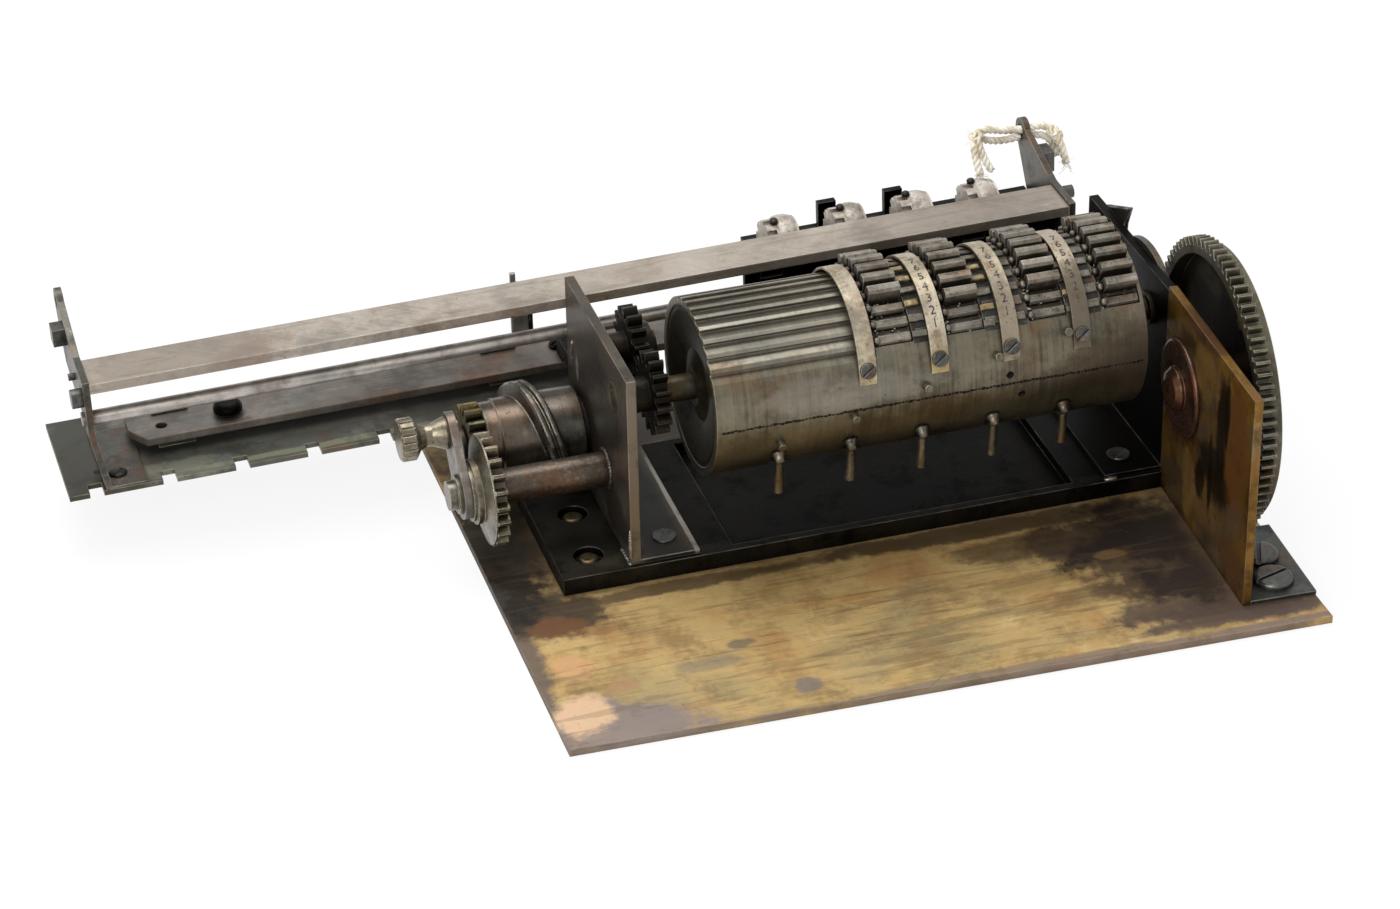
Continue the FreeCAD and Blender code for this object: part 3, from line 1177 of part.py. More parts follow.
def make_rail_bracket():
    """Angle on the left side plate that holds the rail's front edge from above."""
    z0 = RAIL_BOTTOM + RAIL_THICKNESS
    x1 = LEFT_IN + RAIL_BRACKET_THICKNESS
    y1 = RAIL_FRONT + RAIL_BRACKET_HOLD
    upright = box(LEFT_IN, x1, LEFT_PLATE_BACK - 9, LEFT_PLATE_BACK + 8, z0 + 1.4, ROD_Z - ROD_RADIUS - 1.5)
    arm = box(LEFT_IN, x1, LEFT_PLATE_BACK, y1, z0 + 1.4, z0 + 5)
    hold = box(LEFT_IN, x1, RAIL_FRONT, y1, z0 - RAIL_THICKNESS / 2, z0 + 1.4)
    return upright.fuse(arm).fuse(hold).removeSplitter().cut(make_rail())


# string --------------------------------------------------------------------

def string_points():
    """Route of the string: up from the fourth wheel, round a corner and through the eye."""
    eye = V(BAR_RIGHT + BRACKET_THICKNESS / 2, BRACKET_EYE_Y, AXIS_Z + BRACKET_EYE_Z)
    steps = [(-13.2, -7.2, -5.4), (-14.4, -5.4, 0.2), (-11.8, -1.6, 3.2), (-5.2, -0.4, 1.0)]
    steps += [(0.0, 0.0, 0.0), (5.4, 0.6, 0.4), (8.2, -2.2, -2.6), (8.8, -4.6, -8.0)]
    level = [eye + V(*step) for step in steps]
    centre = V(LEFT_OUT, 0, CARRIAGE_TOP_Z)
    tilt = FreeCAD.Rotation(V(0, 1, 0), -SAG)
    return [centre + tilt.multVec(point - centre) for point in level]


def corner_cut(before, corner, after):
    """Tangent points and middle point of the arc at one corner, and its radius."""
    run_in = corner - before
    run_out = after - corner
    angle = run_in.getAngle(run_out)
    cut = 0.45 * min(run_in.Length, run_out.Length)
    radius = cut / math.tan(angle / 2)
    a = corner - run_in.normalize() * cut
    b = corner + run_out.normalize() * cut
    middle = (a + b) * 0.5
    towards = (middle - corner).normalize()
    depth = radius / math.cos(angle / 2) - radius
    return a, corner + towards * depth, b, radius


def cord_path(points):
    """Straight runs joined by tangent arcs."""
    edges = []
    radii = []
    last = points[0]
    for before, corner, after in zip(points, points[1:], points[2:]):
        a, middle, b, radius = corner_cut(before, corner, after)
        edges.append(Part.LineSegment(last, a).toShape())
        edges.append(Part.Arc(a, middle, b).toShape())
        radii.append(round(radius, 2))
        last = b
    edges.append(Part.LineSegment(last, points[-1]).toShape())
    print("string arc radii in mm:", radii)
    return Part.Wire(edges)


def make_string():
    """Plain round string along its route."""
    points = string_points()
    path = cord_path(points)
    circle = Part.Circle(points[0], points[1] - points[0], STRING_RADIUS).toShape()
    profile = Part.Wire([circle])
    return path.makePipeShell([profile], True, False)


# write every piece ---------------------------------------------------------

def save_frame():
    """Pieces that stay still."""
    save("base_plate", make_base())
    save("bed_plate", make_bed())
    save("bed_screws", compound([bed_screw(x, y) for x, y in bed_screw_places()]))
    save("left_side_plate", make_left_plate())
    save("right_side_plate", make_right_plate())
    save("drum_bearings", make_bushes())
    save("bearing_cover_disc", make_cover_disc())
    save("bearing_plate", make_bearing_plate())
    save("bearing_plate_foot", make_bearing_foot())
    save("frame_screws", make_frame_screws())
    save("gear_boss", make_gear_boss())
    save("crank_bearing_tube", make_crank_tube())
    save("hub_stud", make_hub_stud())
    save("idler_stud", make_idler_stud())
    save("carriage_rail", make_rail())
    save("rail_screws", make_rail_screws())
    save("rail_bracket", make_rail_bracket())


def save_drum():
    """Drum, its teeth, strips and setting rings, and the idler gear."""
    screws = [make_strip_screw(index) for index in range(len(TOOTH_GROUP_REACHES))]
    shell = make_drum_shell()
    strips = []
    heads = []
    for index, screw in enumerate(screws):
        strips.append(make_strip(index).cut(screw))
        heads.append(screw.cut(rod(DRUM_LEFT, DRUM_RIGHT, DRUM_RADIUS)))
    save("drum_shell", shell)
    save("digit_strips", compound(strips))
    save("strip_screws", compound(heads))
    save("drum_ends", make_drum_ends())
    save("drum_shaft", make_drum_shaft())
    save("drum_collars", make_drum_collars())
    save("drum_gear", make_drum_gear())
    save("carry_pins", make_carry_pins())
    for group in range(len(TOOTH_GROUP_REACHES)):
        save("fixed_teeth_%d" % (group + 1), make_teeth(group))
        save("moving_tooth_%d" % (group + 1), make_moving_tooth(group))
    for index in range(RING_COUNT):
        save("setting_ring_%d" % (index + 1), make_setting_ring(index))
    save("idler_gear", make_idler())


def save_crank_and_hub():
    """Crank, shifting hub and big gear."""
    save("crank_spindle", make_crank_spindle())
    save("crank_gear", make_crank_gear())
    save("crank_arm", make_crank_arm())
    save("crank_knob", make_crank_knob())
    save("shift_hub", make_shift_hub())
    save("hub_pinion", make_hub_pinion())
    save("big_gear", make_big_gear())


def save_carriage():
    """Sliding carriage."""
    save("notched_plate", make_notched_plate())
    save("left_bracket", make_left_bracket())
    save("right_bracket", make_right_bracket())
    save("top_bar", make_top_bar())
    save("carriage_rod", make_carriage_rod())
    save("wheel_shaft", make_wheel_shaft())
    save("rear_bar", sag(compound([make_rear_bar(), make_apron()])))
    save("carriage_nuts", make_carriage_nuts())
    save("lever_wire", make_lever())
    save("string", make_string())
    for index in range(WHEEL_COUNT):
        save("number_wheel_%d" % (index + 1), make_number_wheel(index))


save_frame()
save_drum()
save_crank_and_hub()
save_carriage()
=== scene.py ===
"""Dresses the pinwheel calculating machine's frame with worn metal finishes and its small visible details."""
import logging
import math
import random
from dataclasses import dataclass, field
from enum import Enum

import bmesh
import bpy
from mathutils import Matrix, Vector


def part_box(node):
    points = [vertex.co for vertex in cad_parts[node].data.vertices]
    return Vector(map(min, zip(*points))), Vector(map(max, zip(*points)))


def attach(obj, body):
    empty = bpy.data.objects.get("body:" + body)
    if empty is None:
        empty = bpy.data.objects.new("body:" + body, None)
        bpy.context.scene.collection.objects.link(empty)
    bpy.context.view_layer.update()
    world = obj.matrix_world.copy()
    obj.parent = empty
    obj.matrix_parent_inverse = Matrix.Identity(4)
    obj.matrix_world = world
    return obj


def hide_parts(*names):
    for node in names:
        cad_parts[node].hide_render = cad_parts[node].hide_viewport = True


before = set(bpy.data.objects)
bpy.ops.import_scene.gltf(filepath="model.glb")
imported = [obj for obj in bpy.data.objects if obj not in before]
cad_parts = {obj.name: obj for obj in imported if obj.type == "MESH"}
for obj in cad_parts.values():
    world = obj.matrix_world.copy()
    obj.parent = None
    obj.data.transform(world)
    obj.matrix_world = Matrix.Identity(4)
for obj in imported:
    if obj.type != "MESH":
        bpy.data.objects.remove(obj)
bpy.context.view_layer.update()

LOG = logging.getLogger("machine")
MM = 0.001
AXIS_Z = 0.0407
DRUM_LEFT = -0.0478
DRUM_RADIUS = 0.01905
STEP = 0.015875
TOOTH_STARTS = (0.0366, 0.0524, 0.0708, 0.0873)
STRIP_FIRST = 0.0331
TOOTH_FIRST = 60.5
PIN_ANGLE = -149.0
RING_FIRST = -0.03376
SCRATCHES = (
    (-2.0, 0.1, 420.0, 0.56, 0.55), (3.0, 0.06, 900.0, 0.62, 0.8),
    (-38.0, 0.02, 520.0, 0.715, 0.9), (58.0, 0.02, 560.0, 0.72, 0.9),
)
LUG_OUTLINE = ((20.4, 46.0), (31.0, 46.0), (31.0, 49.8), (17.4, 55.8), (20.4, 50.6))

Tone = tuple[float, float, float, float]


def tone(code: str) -> Tone:
    """Turn a six-digit hex colour into the linear values that shaders take.

    Args:
        code: Hex digits of red, green and blue.

    Returns:
        Linear red, green, blue and 1.
    """
    values = [int(code[i:i + 2], 16) / 255 for i in (0, 2, 4)]
    linear = [v / 12.92 if v <= 0.04045 else ((v + 0.055) / 1.055) ** 2.4 for v in values]
    return (linear[0], linear[1], linear[2], 1.0)


def settled(work: bmesh.types.BMesh, name: str, outward: bool = True) -> bpy.types.Mesh:
    """Turn a mesh that is being made into a finished one.

    Args:
        work: The mesh being made, which is freed.
        name: Mesh name.
        outward: Whether its faces are turned outwards first.

    Returns:
        The finished mesh.
    """
    if outward:
        bmesh.ops.recalc_face_normals(work, faces=work.faces)
    mesh = bpy.data.meshes.new(name)
    work.to_mesh(mesh)
    work.free()
    return mesh


class Grain(Enum):
    """Which way a surface has been brushed."""

    NONE = (1.0, 1.0, 1.0)
    ALONG_X = (0.03, 1.0, 1.0)
    AROUND_X = (1.0, 0.02, 0.02)
    ALONG_Y = (1.0, 0.03, 1.0)
    ALONG_Z = (1.0, 1.0, 0.04)
    DIAGONAL = (0.045, 1.0, 1.0)


@dataclass(frozen=True)
class ColourPatch:
    """A soft-edged patch of other colour on a plate, in metres: most are stains, while those on the big gear
    and the drum's top are painted reflection, shade and highlight.
    """

    centre: tuple[float, float, float]
    reach: tuple[float, float, float]
    colour: str
    strength: float = 0.9
    ragged: float = 0.95


class Sketcher:
    """Small helper that adds and joins shader nodes in one material or world."""

    def __init__(self, material: bpy.types.Material | bpy.types.World) -> None:
        """Start from an emptied node tree.

        Args:
            material: The material or world to fill.
        """
        material.use_nodes = True
        self.tree = material.node_tree
        self.tree.nodes.clear()

    def node(self, kind: str, **settings: object) -> bpy.types.Node:
        """Add a node and set its properties.

        Args:
            kind: Blender's node type name.
            settings: Property names and values.

        Returns:
            The new node.
        """
        made = self.tree.nodes.new(kind)
        for name, value in settings.items():
            setattr(made, name, value)
        return made

    def join(self, source: object, target: bpy.types.NodeSocket) -> None:
        """Link a socket, or set a plain value.

        Args:
            source: An output socket or a constant.
            target: The input socket.
        """
        if isinstance(source, bpy.types.NodeSocket):
            self.tree.links.new(source, target)
        else:
            target.default_value = source

    def coords(self) -> bpy.types.NodeSocket:
        """Return the object's own coordinates."""
        return self.node("ShaderNodeTexCoord").outputs["Object"]

    def stretched(self, vector: object, scale: tuple[float, float, float],
                  turn: float = 0.0) -> bpy.types.NodeSocket:
        """Scale and turn a vector.

        Args:
            vector: The vector to change.
            scale: Factors along each axis.
            turn: Turn about Z in degrees, before the scaling.

        Returns:
            The changed vector.
        """
        spun = self.node("ShaderNodeMapping")
        spun.inputs["Rotation"].default_value = (0, 0, math.radians(turn))
        self.join(vector, spun.inputs["Vector"])
        made = self.node("ShaderNodeMapping")
        made.inputs["Scale"].default_value = scale
        self.join(spun.outputs[0], made.inputs["Vector"])
        return made.outputs[0]

    def noise(self, vector: object, scale: float, detail: float = 4.0,
              rough: float = 0.55, colour: bool = False) -> bpy.types.NodeSocket:
        """Add fractal noise.

        Args:
            vector: Where it is read.
            scale: Its scale.
            detail: Number of octaves.
            rough: Strength of the finer octaves.
            colour: Whether the three-channel output is wanted.

        Returns:
            The noise's value or colour.
        """
        made = self.node("ShaderNodeTexNoise")
        self.join(vector, made.inputs["Vector"])
        made.inputs["Scale"].default_value = scale
        made.inputs["Detail"].default_value = detail
        made.inputs["Roughness"].default_value = rough
        return made.outputs["Color" if colour else "Fac"]

    def maths(self, kind: str, a: object, b: object = 0.0, clamp: bool = False) -> bpy.types.NodeSocket:
        """Add a Math node.

        Args:
            kind: Its operation.
            a: First value.
            b: Second value.
            clamp: Whether the result is kept from 0 to 1.

        Returns:
            The result.
        """
        made = self.node("ShaderNodeMath", operation=kind, use_clamp=clamp)
        self.join(a, made.inputs[0])
        self.join(b, made.inputs[1])
        return made.outputs[0]

    def span(self, value: object, low: float, high: float, to_low: float = 0.0,
             to_high: float = 1.0) -> bpy.types.NodeSocket:
        """Remap a value from one range to another, smoothly and clamped.

        Args:
            value: The value.
            low: Start of its range.
            high: End of its range.
            to_low: New start.
            to_high: New end.

        Returns:
            The remapped value.
        """
        made = self.node("ShaderNodeMapRange", interpolation_type="SMOOTHSTEP")
        self.join(value, made.inputs["Value"])
        for name, number in zip(("From Min", "From Max", "To Min", "To Max"), (low, high, to_low, to_high)):
            made.inputs[name].default_value = number
        return made.outputs[0]

    def blend(self, share: object, first: object, second: object, kind: str = "MIX") -> bpy.types.NodeSocket:
        """Mix two colours.

        Args:
            share: How much of the second.
            first: First colour.
            second: Second colour.
            kind: Blend type.

        Returns:
            The mixed colour.
        """
        made = self.node("ShaderNodeMix", data_type="RGBA", blend_type=kind)
        self.join(share, made.inputs[0])
        self.join(first, made.inputs[6])
        self.join(second, made.inputs[7])
        return made.outputs[2]

    def edge(self, radius: float) -> tuple[bpy.types.NodeSocket, bpy.types.NodeSocket]:
        """Find the edges of a solid.

        Args:
            radius: Width of the softened edge in metres.

        Returns:
            A mask that is 1 on edges, and the softened normal.
        """
        soft = self.node("ShaderNodeBevel", samples=4)
        soft.inputs["Radius"].default_value = radius
        plain = self.node("ShaderNodeNewGeometry")
        dot = self.node("ShaderNodeVectorMath", operation="DOT_PRODUCT")
        self.join(soft.outputs[0], dot.inputs[0])
        self.join(plain.outputs["Normal"], dot.inputs[1])
        mask = self.span(dot.outputs["Value"], 0.995, 0.8, 0.0, 1.0)
        return mask, soft.outputs[0]

    def surface(self, shader: bpy.types.Node, kind: str = "Material") -> None:
        """Send a shader to the output.

        Args:
            shader: The shader's node.
            kind: Material or World.
        """
        out = self.node("ShaderNodeOutput" + kind)
        self.join(shader.outputs[0], out.inputs["Surface"])

    def white_to_camera(self, plain: bpy.types.Node, white: bpy.types.Node,
                        share: float = 1.0) -> bpy.types.Node:
        """Show one shader to the camera, mirrors and glass, and another to all other light.

        Args:
            plain: Shader that lights the machine.
            white: Shader that is seen.
            share: How much of the second is seen.

        Returns:
            The mixed shader.
        """
        path = self.node("ShaderNodeLightPath")
        seen = self.maths("MAXIMUM", path.outputs["Is Camera Ray"], path.outputs["Is Glossy Ray"])
        seen = self.maths("MAXIMUM", seen, path.outputs["Is Transmission Ray"])
        mix = self.node("ShaderNodeMixShader")
        self.join(self.maths("MULTIPLY", seen, share), mix.inputs[0])
        self.join(plain.outputs[0], mix.inputs[1])
        self.join(white.outputs[0], mix.inputs[2])
        return mix

    def painted_crevice_shade(self, noise: object, reach: float, strength: float) -> bpy.types.NodeSocket:
        """Find corners and hollows, which are darkened as painted shade.

        Args:
            noise: Noise that makes the painted shade's edge ragged.
            reach: How far a hollow is felt, in metres.
            strength: How much the painted shade covers.

        Returns:
            A mask that is highest in the deepest corners.
        """
        # Ambient occlusion: the corners and hollows it finds get painted shade.
        near = self.node("ShaderNodeAmbientOcclusion", samples=6)
        near.inputs["Distance"].default_value = reach
        ragged = self.maths("MULTIPLY", self.maths("SUBTRACT", 0.5, noise), 0.9)
        depth = self.maths("ADD", near.outputs["AO"], ragged)
        return self.span(depth, 0.86, 0.42, 0.0, min(1.0, strength))

    def patched(self, colour: object, stains_and_painted_light: tuple[ColourPatch, ...], vector: object) -> bpy.types.NodeSocket:
        """Lay patches over a colour.

        Args:
            colour: The colour below.
            stains_and_painted_light: The patches.
            vector: Object coordinates.

        Returns:
            The colour with its patches.
        """
        wobble = self.noise(vector, 110.0, 9.0, 0.72, colour=True)
        for colour_patch in stains_and_painted_light:
            away = self.node("ShaderNodeVectorMath", operation="SUBTRACT")
            self.join(vector, away.inputs[0])
            away.inputs[1].default_value = colour_patch.centre
            size = self.node("ShaderNodeVectorMath", operation="DIVIDE")
            self.join(away.outputs[0], size.inputs[0])
            size.inputs[1].default_value = colour_patch.reach
            shift = self.node("ShaderNodeVectorMath", operation="MULTIPLY_ADD")
            self.join(wobble, shift.inputs[0])
            shift.inputs[1].default_value = (colour_patch.ragged * 2,) * 3
            shift.inputs[2].default_value = (-colour_patch.ragged,) * 3
            moved = self.node("ShaderNodeVectorMath", operation="ADD")
            self.join(size.outputs[0], moved.inputs[0])
            self.join(shift.outputs[0], moved.inputs[1])
            length = self.node("ShaderNodeVectorMath", operation="LENGTH")
            self.join(moved.outputs[0], length.inputs[0])
            mask = self.span(length.outputs["Value"], 1.18, 0.72, 0.0, colour_patch.strength)
            colour = self.blend(mask, colour, tone(colour_patch.colour))
        return colour


@dataclass(frozen=True)
class Finish:
    """A worn metal finish: three tones, grime with painted shade in corners and hollows, brushing, pits and
    bright edges.
    """

    name: str
    dark: str
    body: str
    light: str
    roughness: float = 0.42
    spread: float = 0.2
    metallic: float = 0.8
    grain: Grain = Grain.NONE
    grain_depth: float = 0.35
    turn: float = 0.0
    patch: float = 70.0
    # How much noise grime covers; 1.7 times it is the strength of the painted shade in hollows.
    grime_and_shade: float = 0.4
    # Colour of grime, pits, scratches and the painted shade in hollows.
    grime_and_shade_tone: str = "14110c"
    wear: float = 0.6
    wear_tone: str = "a9a193"
    pits: float = 0.25
    edge: float = 0.00035
    scratches: float = 0.0
    warm: str = "6d4a2e"
    cool: str = "5b625f"
    tint: float = 0.4
    # Reach of the occlusion that paints shade in corners and hollows.
    reach: float = 0.004
    stains_and_painted_light: tuple[ColourPatch, ...] = ()

    def make(self) -> bpy.types.Material:
        """Build the finish's material.

        Returns:
            The material.
        """
        material = bpy.data.materials.new(self.name)
        draw = Sketcher(material)
        where = draw.coords()
        patches = draw.noise(where, self.patch, 6.0, 0.6)
        fine = draw.noise(where, self.patch * 9, 3.0, 0.6)
        lines = self.lines(draw, where)
        level = draw.maths("ADD", draw.maths("MULTIPLY", patches, 0.75), draw.maths("MULTIPLY", fine, 0.25))
        brushed = draw.maths("MULTIPLY", draw.maths("SUBTRACT", lines, 0.5), self.grain_depth)
        level = draw.maths("ADD", level, brushed)
        colour = draw.blend(draw.span(level, 0.34, 0.52), tone(self.dark), tone(self.body))
        colour = draw.blend(draw.span(level, 0.52, 0.72), colour, tone(self.light))
        colour = self.tinted(draw, where, colour)
        colour = draw.patched(colour, self.stains_and_painted_light, where)
        # Noise grime, widened by painted shade in corners and hollows from the occlusion mask.
        dirt_and_shade_noise = draw.noise(where, self.patch * 2.3, 7.0, 0.7)
        dirt_and_shade = draw.span(dirt_and_shade_noise, 0.5, 0.66, 0.0, self.grime_and_shade)
        dirt_and_shade = draw.maths("MAXIMUM", dirt_and_shade, draw.painted_crevice_shade(dirt_and_shade_noise, self.reach, self.grime_and_shade * 1.7))
        colour = draw.blend(dirt_and_shade, colour, tone(self.grime_and_shade_tone))
        rare = 0.68 - 0.09 * self.pits
        pitted = draw.noise(where, 1500.0, 5.0, 0.62)
        specks = draw.span(pitted, rare, rare + 0.05, 0.0, min(1.0, self.pits * 2))
        colour = draw.blend(specks, colour, tone(self.grime_and_shade_tone))
        if self.scratches:
            colour = self.scratched(draw, where, colour)
        mask, soft = draw.edge(self.edge)
        rubbed = draw.span(draw.noise(where, 160.0, 4.0), 0.35, 0.6, 0.15, self.wear)
        worn = draw.maths("MULTIPLY", mask, rubbed)
        colour = draw.blend(worn, colour, tone(self.wear_tone))
        shader = draw.node("ShaderNodeBsdfPrincipled")
        draw.join(colour, shader.inputs["Base Color"])
        shader.inputs["Metallic"].default_value = self.metallic
        rough = draw.maths("MULTIPLY", level, self.spread)
        rough = draw.maths("ADD", self.roughness - self.spread / 2, rough)
        rough = draw.maths("ADD", rough, draw.maths("MULTIPLY", dirt_and_shade, 0.25), clamp=True)
        draw.join(rough, shader.inputs["Roughness"])
        height = draw.maths("MULTIPLY", lines, self.grain_depth)
        height = draw.maths("ADD", height, draw.maths("MULTIPLY", fine, 0.5))
        height = draw.maths("SUBTRACT", height, draw.maths("MULTIPLY", specks, 1.5))
        bump = draw.node("ShaderNodeBump")
        bump.inputs["Strength"].default_value = 0.35
        bump.inputs["Distance"].default_value = 0.00012
        draw.join(height, bump.inputs["Height"])
        draw.join(soft, bump.inputs["Normal"])
        draw.join(bump.outputs[0], shader.inputs["Normal"])
        draw.surface(shader)
        return material

    def tinted(self, draw: Sketcher, where: object, colour: object) -> bpy.types.NodeSocket:
        """Lay soft warm and cool patches of tarnish over a colour.

        Args:
            draw: The material's sketcher.
            where: Object coordinates.
            colour: The colour below.

        Returns:
            The tarnished colour.
        """
        for code, scale, shift in ((self.warm, self.patch * 1.3, 0.37), (self.cool, self.patch * 0.8, 0.71)):
            moved = draw.node("ShaderNodeVectorMath", operation="ADD")
            draw.join(where, moved.inputs[0])
            moved.inputs[1].default_value = (shift, shift * 2, shift * 3)
            patch = draw.noise(moved.outputs[0], scale, 6.0, 0.65)
            colour = draw.blend(draw.span(patch, 0.5, 0.64, 0.0, self.tint), colour, tone(code))
        return colour

    def scratched(self, draw: Sketcher, where: object, colour: object) -> bpy.types.NodeSocket:
        """Draw long thin scratches over a colour, most along the plate and a few across.

        Args:
            draw: The material's sketcher.
            where: Object coordinates.
            colour: The colour below.

        Returns:
            The scratched colour.
        """
        for turn, stretch, scale, low, share in SCRATCHES:
            marks = draw.noise(draw.stretched(where, (stretch, 1.0, 1.0), turn), scale, 3.0, 0.55)
            mask = draw.span(marks, low, low + 0.06, 0.0, self.scratches * share)
            colour = draw.blend(mask, colour, tone(self.grime_and_shade_tone))
        return colour

    def lines(self, draw: Sketcher, where: object) -> bpy.types.NodeSocket:
        """Brush lines, or plain fine noise where there is no grain.

        Args:
            draw: The material's sketcher.
            where: Object coordinates.

        Returns:
            A value around a half.
        """
        vector = draw.stretched(where, self.grain.value, self.turn)
        return draw.noise(vector, 1400.0, 3.0, 0.6)


@dataclass(frozen=True)
class CottonFinish:
    """Off-white twisted cotton with soiled hollows."""

    name: str = "cotton"
    light: str = "efe9dc"
    dark: str = "b9a888"

    def make(self) -> bpy.types.Material:
        """Build the cotton's material.

        Returns:
            The material.
        """
        material = bpy.data.materials.new(self.name)
        draw = Sketcher(material)
        where = draw.coords()
        fibres = draw.noise(where, 2600.0, 4.0, 0.6)
        soil = draw.noise(where, 260.0, 4.0, 0.6)
        colour = draw.blend(draw.span(soil, 0.4, 0.68), tone(self.light), tone(self.dark))
        colour = draw.blend(draw.span(fibres, 0.35, 0.7, 0.0, 0.35), colour, tone("fffaf0"))
        shader = draw.node("ShaderNodeBsdfPrincipled")
        draw.join(colour, shader.inputs["Base Color"])
        shader.inputs["Roughness"].default_value = 0.95
        shader.inputs["Sheen Weight"].default_value = 0.3
        bump = draw.node("ShaderNodeBump")
        bump.inputs["Strength"].default_value = 0.5
        bump.inputs["Distance"].default_value = 0.0001
        draw.join(fibres, bump.inputs["Height"])
        draw.join(bump.outputs[0], shader.inputs["Normal"])
        draw.surface(shader)
        return material


def spot(x: float, y: float, rx: float, ry: float, colour: str, strength: float = 0.9) -> ColourPatch:
    """A patch on a lying plate, with its place and reach in millimetres.

    Args:
        x: Place along the drum.
        y: Place from front to back.
        rx: Reach along the drum.
        ry: Reach from front to back.
        colour: Hex colour.
        strength: How much it covers.

    Returns:
        The patch.
    """
    return ColourPatch((x * MM, y * MM, 0.0017), (rx * MM, ry * MM, 1.0), colour, strength)


def upright(y: float, z: float, ry: float, rz: float, colour: str, strength: float = 0.9) -> ColourPatch:
    """A patch on an upright plate across the drum, in millimetres.

    Args:
        y: Place from front to back.
        z: Height.
        ry: Reach from front to back.
        rz: Reach up and down.
        colour: Hex colour.
        strength: How much it covers.

    Returns:
        The patch.
    """
    return ColourPatch((0.0, y * MM, z * MM), (1.0, ry * MM, rz * MM), colour, strength, 0.7)


BASE_STAINS = tuple(spot(*row) for row in (
    (-84, -62, 22, 11, "7a7072", 0.8), (-95, -30, 5, 30, "544a48", 0.85),
    (-84, -18, 13, 8, "2c2118", 0.92), (-88, 12, 12, 30, "16130e", 0.97),
    (-84, -22, 6, 4, "6e4524", 0.75), (-76, -26, 6, 2, "7c552e", 0.6), (-10, 49, 95, 12, "24211c", 0.96),
    (-95, -7, 4, 5, "3b3a36", 0.9), (-87.5, -54.5, 6.2, 7.0, "d0ae8c", 0.95),
    (-85, -38, 4.5, 5, "c79a6c", 0.75), (-77, -47, 3.4, 2.2, "a9805c", 0.6),
    (-60, -45, 8, 2.6, "77705f", 0.55), (-50, -40, 3.2, 1.7, "625d52", 0.7),
    (-41, -59, 3.0, 3.0, "746c68", 0.75), (-55, -15, 26, 2.6, "3c2c1a", 0.8),
    (10, -15, 46, 3.4, "35281a", 0.85), (44, -36, 20, 20, "3d2e24", 0.9), (27, -29, 8, 6, "33261c", 0.8),
    (44, -26, 26, 12, "241b14", 0.95), (52, -58, 24, 8, "4a3c36", 0.85), (18, -24, 16, 5, "4e3c26", 0.7),
    (60, -50, 5, 3, "9a7656", 0.6), (47, -44, 11, 13, "241a13", 0.92), (56, -61, 24, 6, "4a3c36", 0.85),
    (35, -68.6, 62, 1.3, "7d6c64", 0.85), (24, -46, 7, 3, "6b5538", 0.5),
    (43, -66, 8, 2.2, "9a8457", 0.7), (35, -33, 4, 2, "8a6a3e", 0.6), (-60, -68, 30, 2.0, "807166", 0.8),
    (-5, -67, 34, 1.6, "7b6c60", 0.75), (50, -63.5, 22, 2.4, "5a4a43", 0.85),
    (-20, -55, 14, 1.6, "8b7a54", 0.5), (5, -47, 18, 1.2, "84734f", 0.5),
    (-30, -31, 16, 2.2, "b0813f", 0.3), (15, -38, 10, 3, "8f7e4a", 0.4),
))

BEARING_STAINS = tuple(upright(*row) for row in (
    (-44, 34, 3.2, 14, "1c140b", 0.95), (-41, 23, 9, 6, "1f150c", 0.9), (-24, 38, 9, 10, "2b1d10", 0.75),
    (-30, 52, 12, 3.5, "5a3a20", 0.8), (-34, 42, 7, 6, "8a6a38", 0.8), (-52, 34, 6, 15, "7b4e27", 0.8),
    (-34, 12, 12, 5, "8b6a3d", 0.75), (-18, 8, 8, 5, "5c4a33", 0.8),
    (-38.5, 22, 1.3, 10, "120c06", 0.95), (-33, 17, 2.6, 5, "1a110a", 0.9),
    (-27.5, 15, 1.2, 6, "1c130a", 0.85), (-46.5, 40, 1.4, 9, "150e07", 0.9),
    (-52, 8, 7, 6, "6b4726", 0.8), (-27, 12, 4, 9, "a07c48", 0.6),
))


BED_STAINS = tuple(spot(*row) for row in (
    (-68, 12, 15, 44, "3a372f", 0.8), (-10, -9.8, 82, 2.4, "2e2b24", 0.8), (52, 4, 5, 30, "2b2822", 0.6),
    (-62, -8, 9, 3, "4d463a", 0.6), (6, -8.8, 9, 2, "45402f", 0.5),
))

PLATE_STAINS = (
    ColourPatch((-0.0636, -0.0107, 0.028), (0.02, 0.0006, 0.03), "7d7264", 0.8, 0.04),
    ColourPatch((-0.0560, 0.0100, 0.0062), (0.0068, 0.06, 0.0009), "1f211d", 0.92, 0.1),
    ColourPatch((-0.0500, 0.0000, 0.0066), (0.0006, 0.03, 0.0012), "aeaba2", 0.7, 0.3),
    ColourPatch((-0.0646, 0.0290, 0.0320), (0.003, 0.0012, 0.0030), "9aa3a4", 0.8, 0.4),
    ColourPatch((-0.0646, 0.0120, 0.0300), (0.003, 0.020, 0.0160), "2d2b28", 0.6),
    ColourPatch((-0.0646, 0.0020, 0.0120), (0.003, 0.014, 0.0060), "25201a", 0.75),
)

# Painted reflection and shade on the big gear's face: near-black over the whole face, and two bronze streaks
# of painted reflection.
GEAR_PAINTED_REFLECTIONS = (
    ColourPatch((0.0635, -0.0206, 0.0321), (1.0, 0.0272, 0.0272), "050403", 0.98, 0.012),
    ColourPatch((0.0635, -0.0100, 0.0520), (1.0, 0.0080, 0.0030), "57513a", 0.5),
    ColourPatch((0.0635, 0.0000, 0.0420), (1.0, 0.0030, 0.0060), "4e4932", 0.45),
)

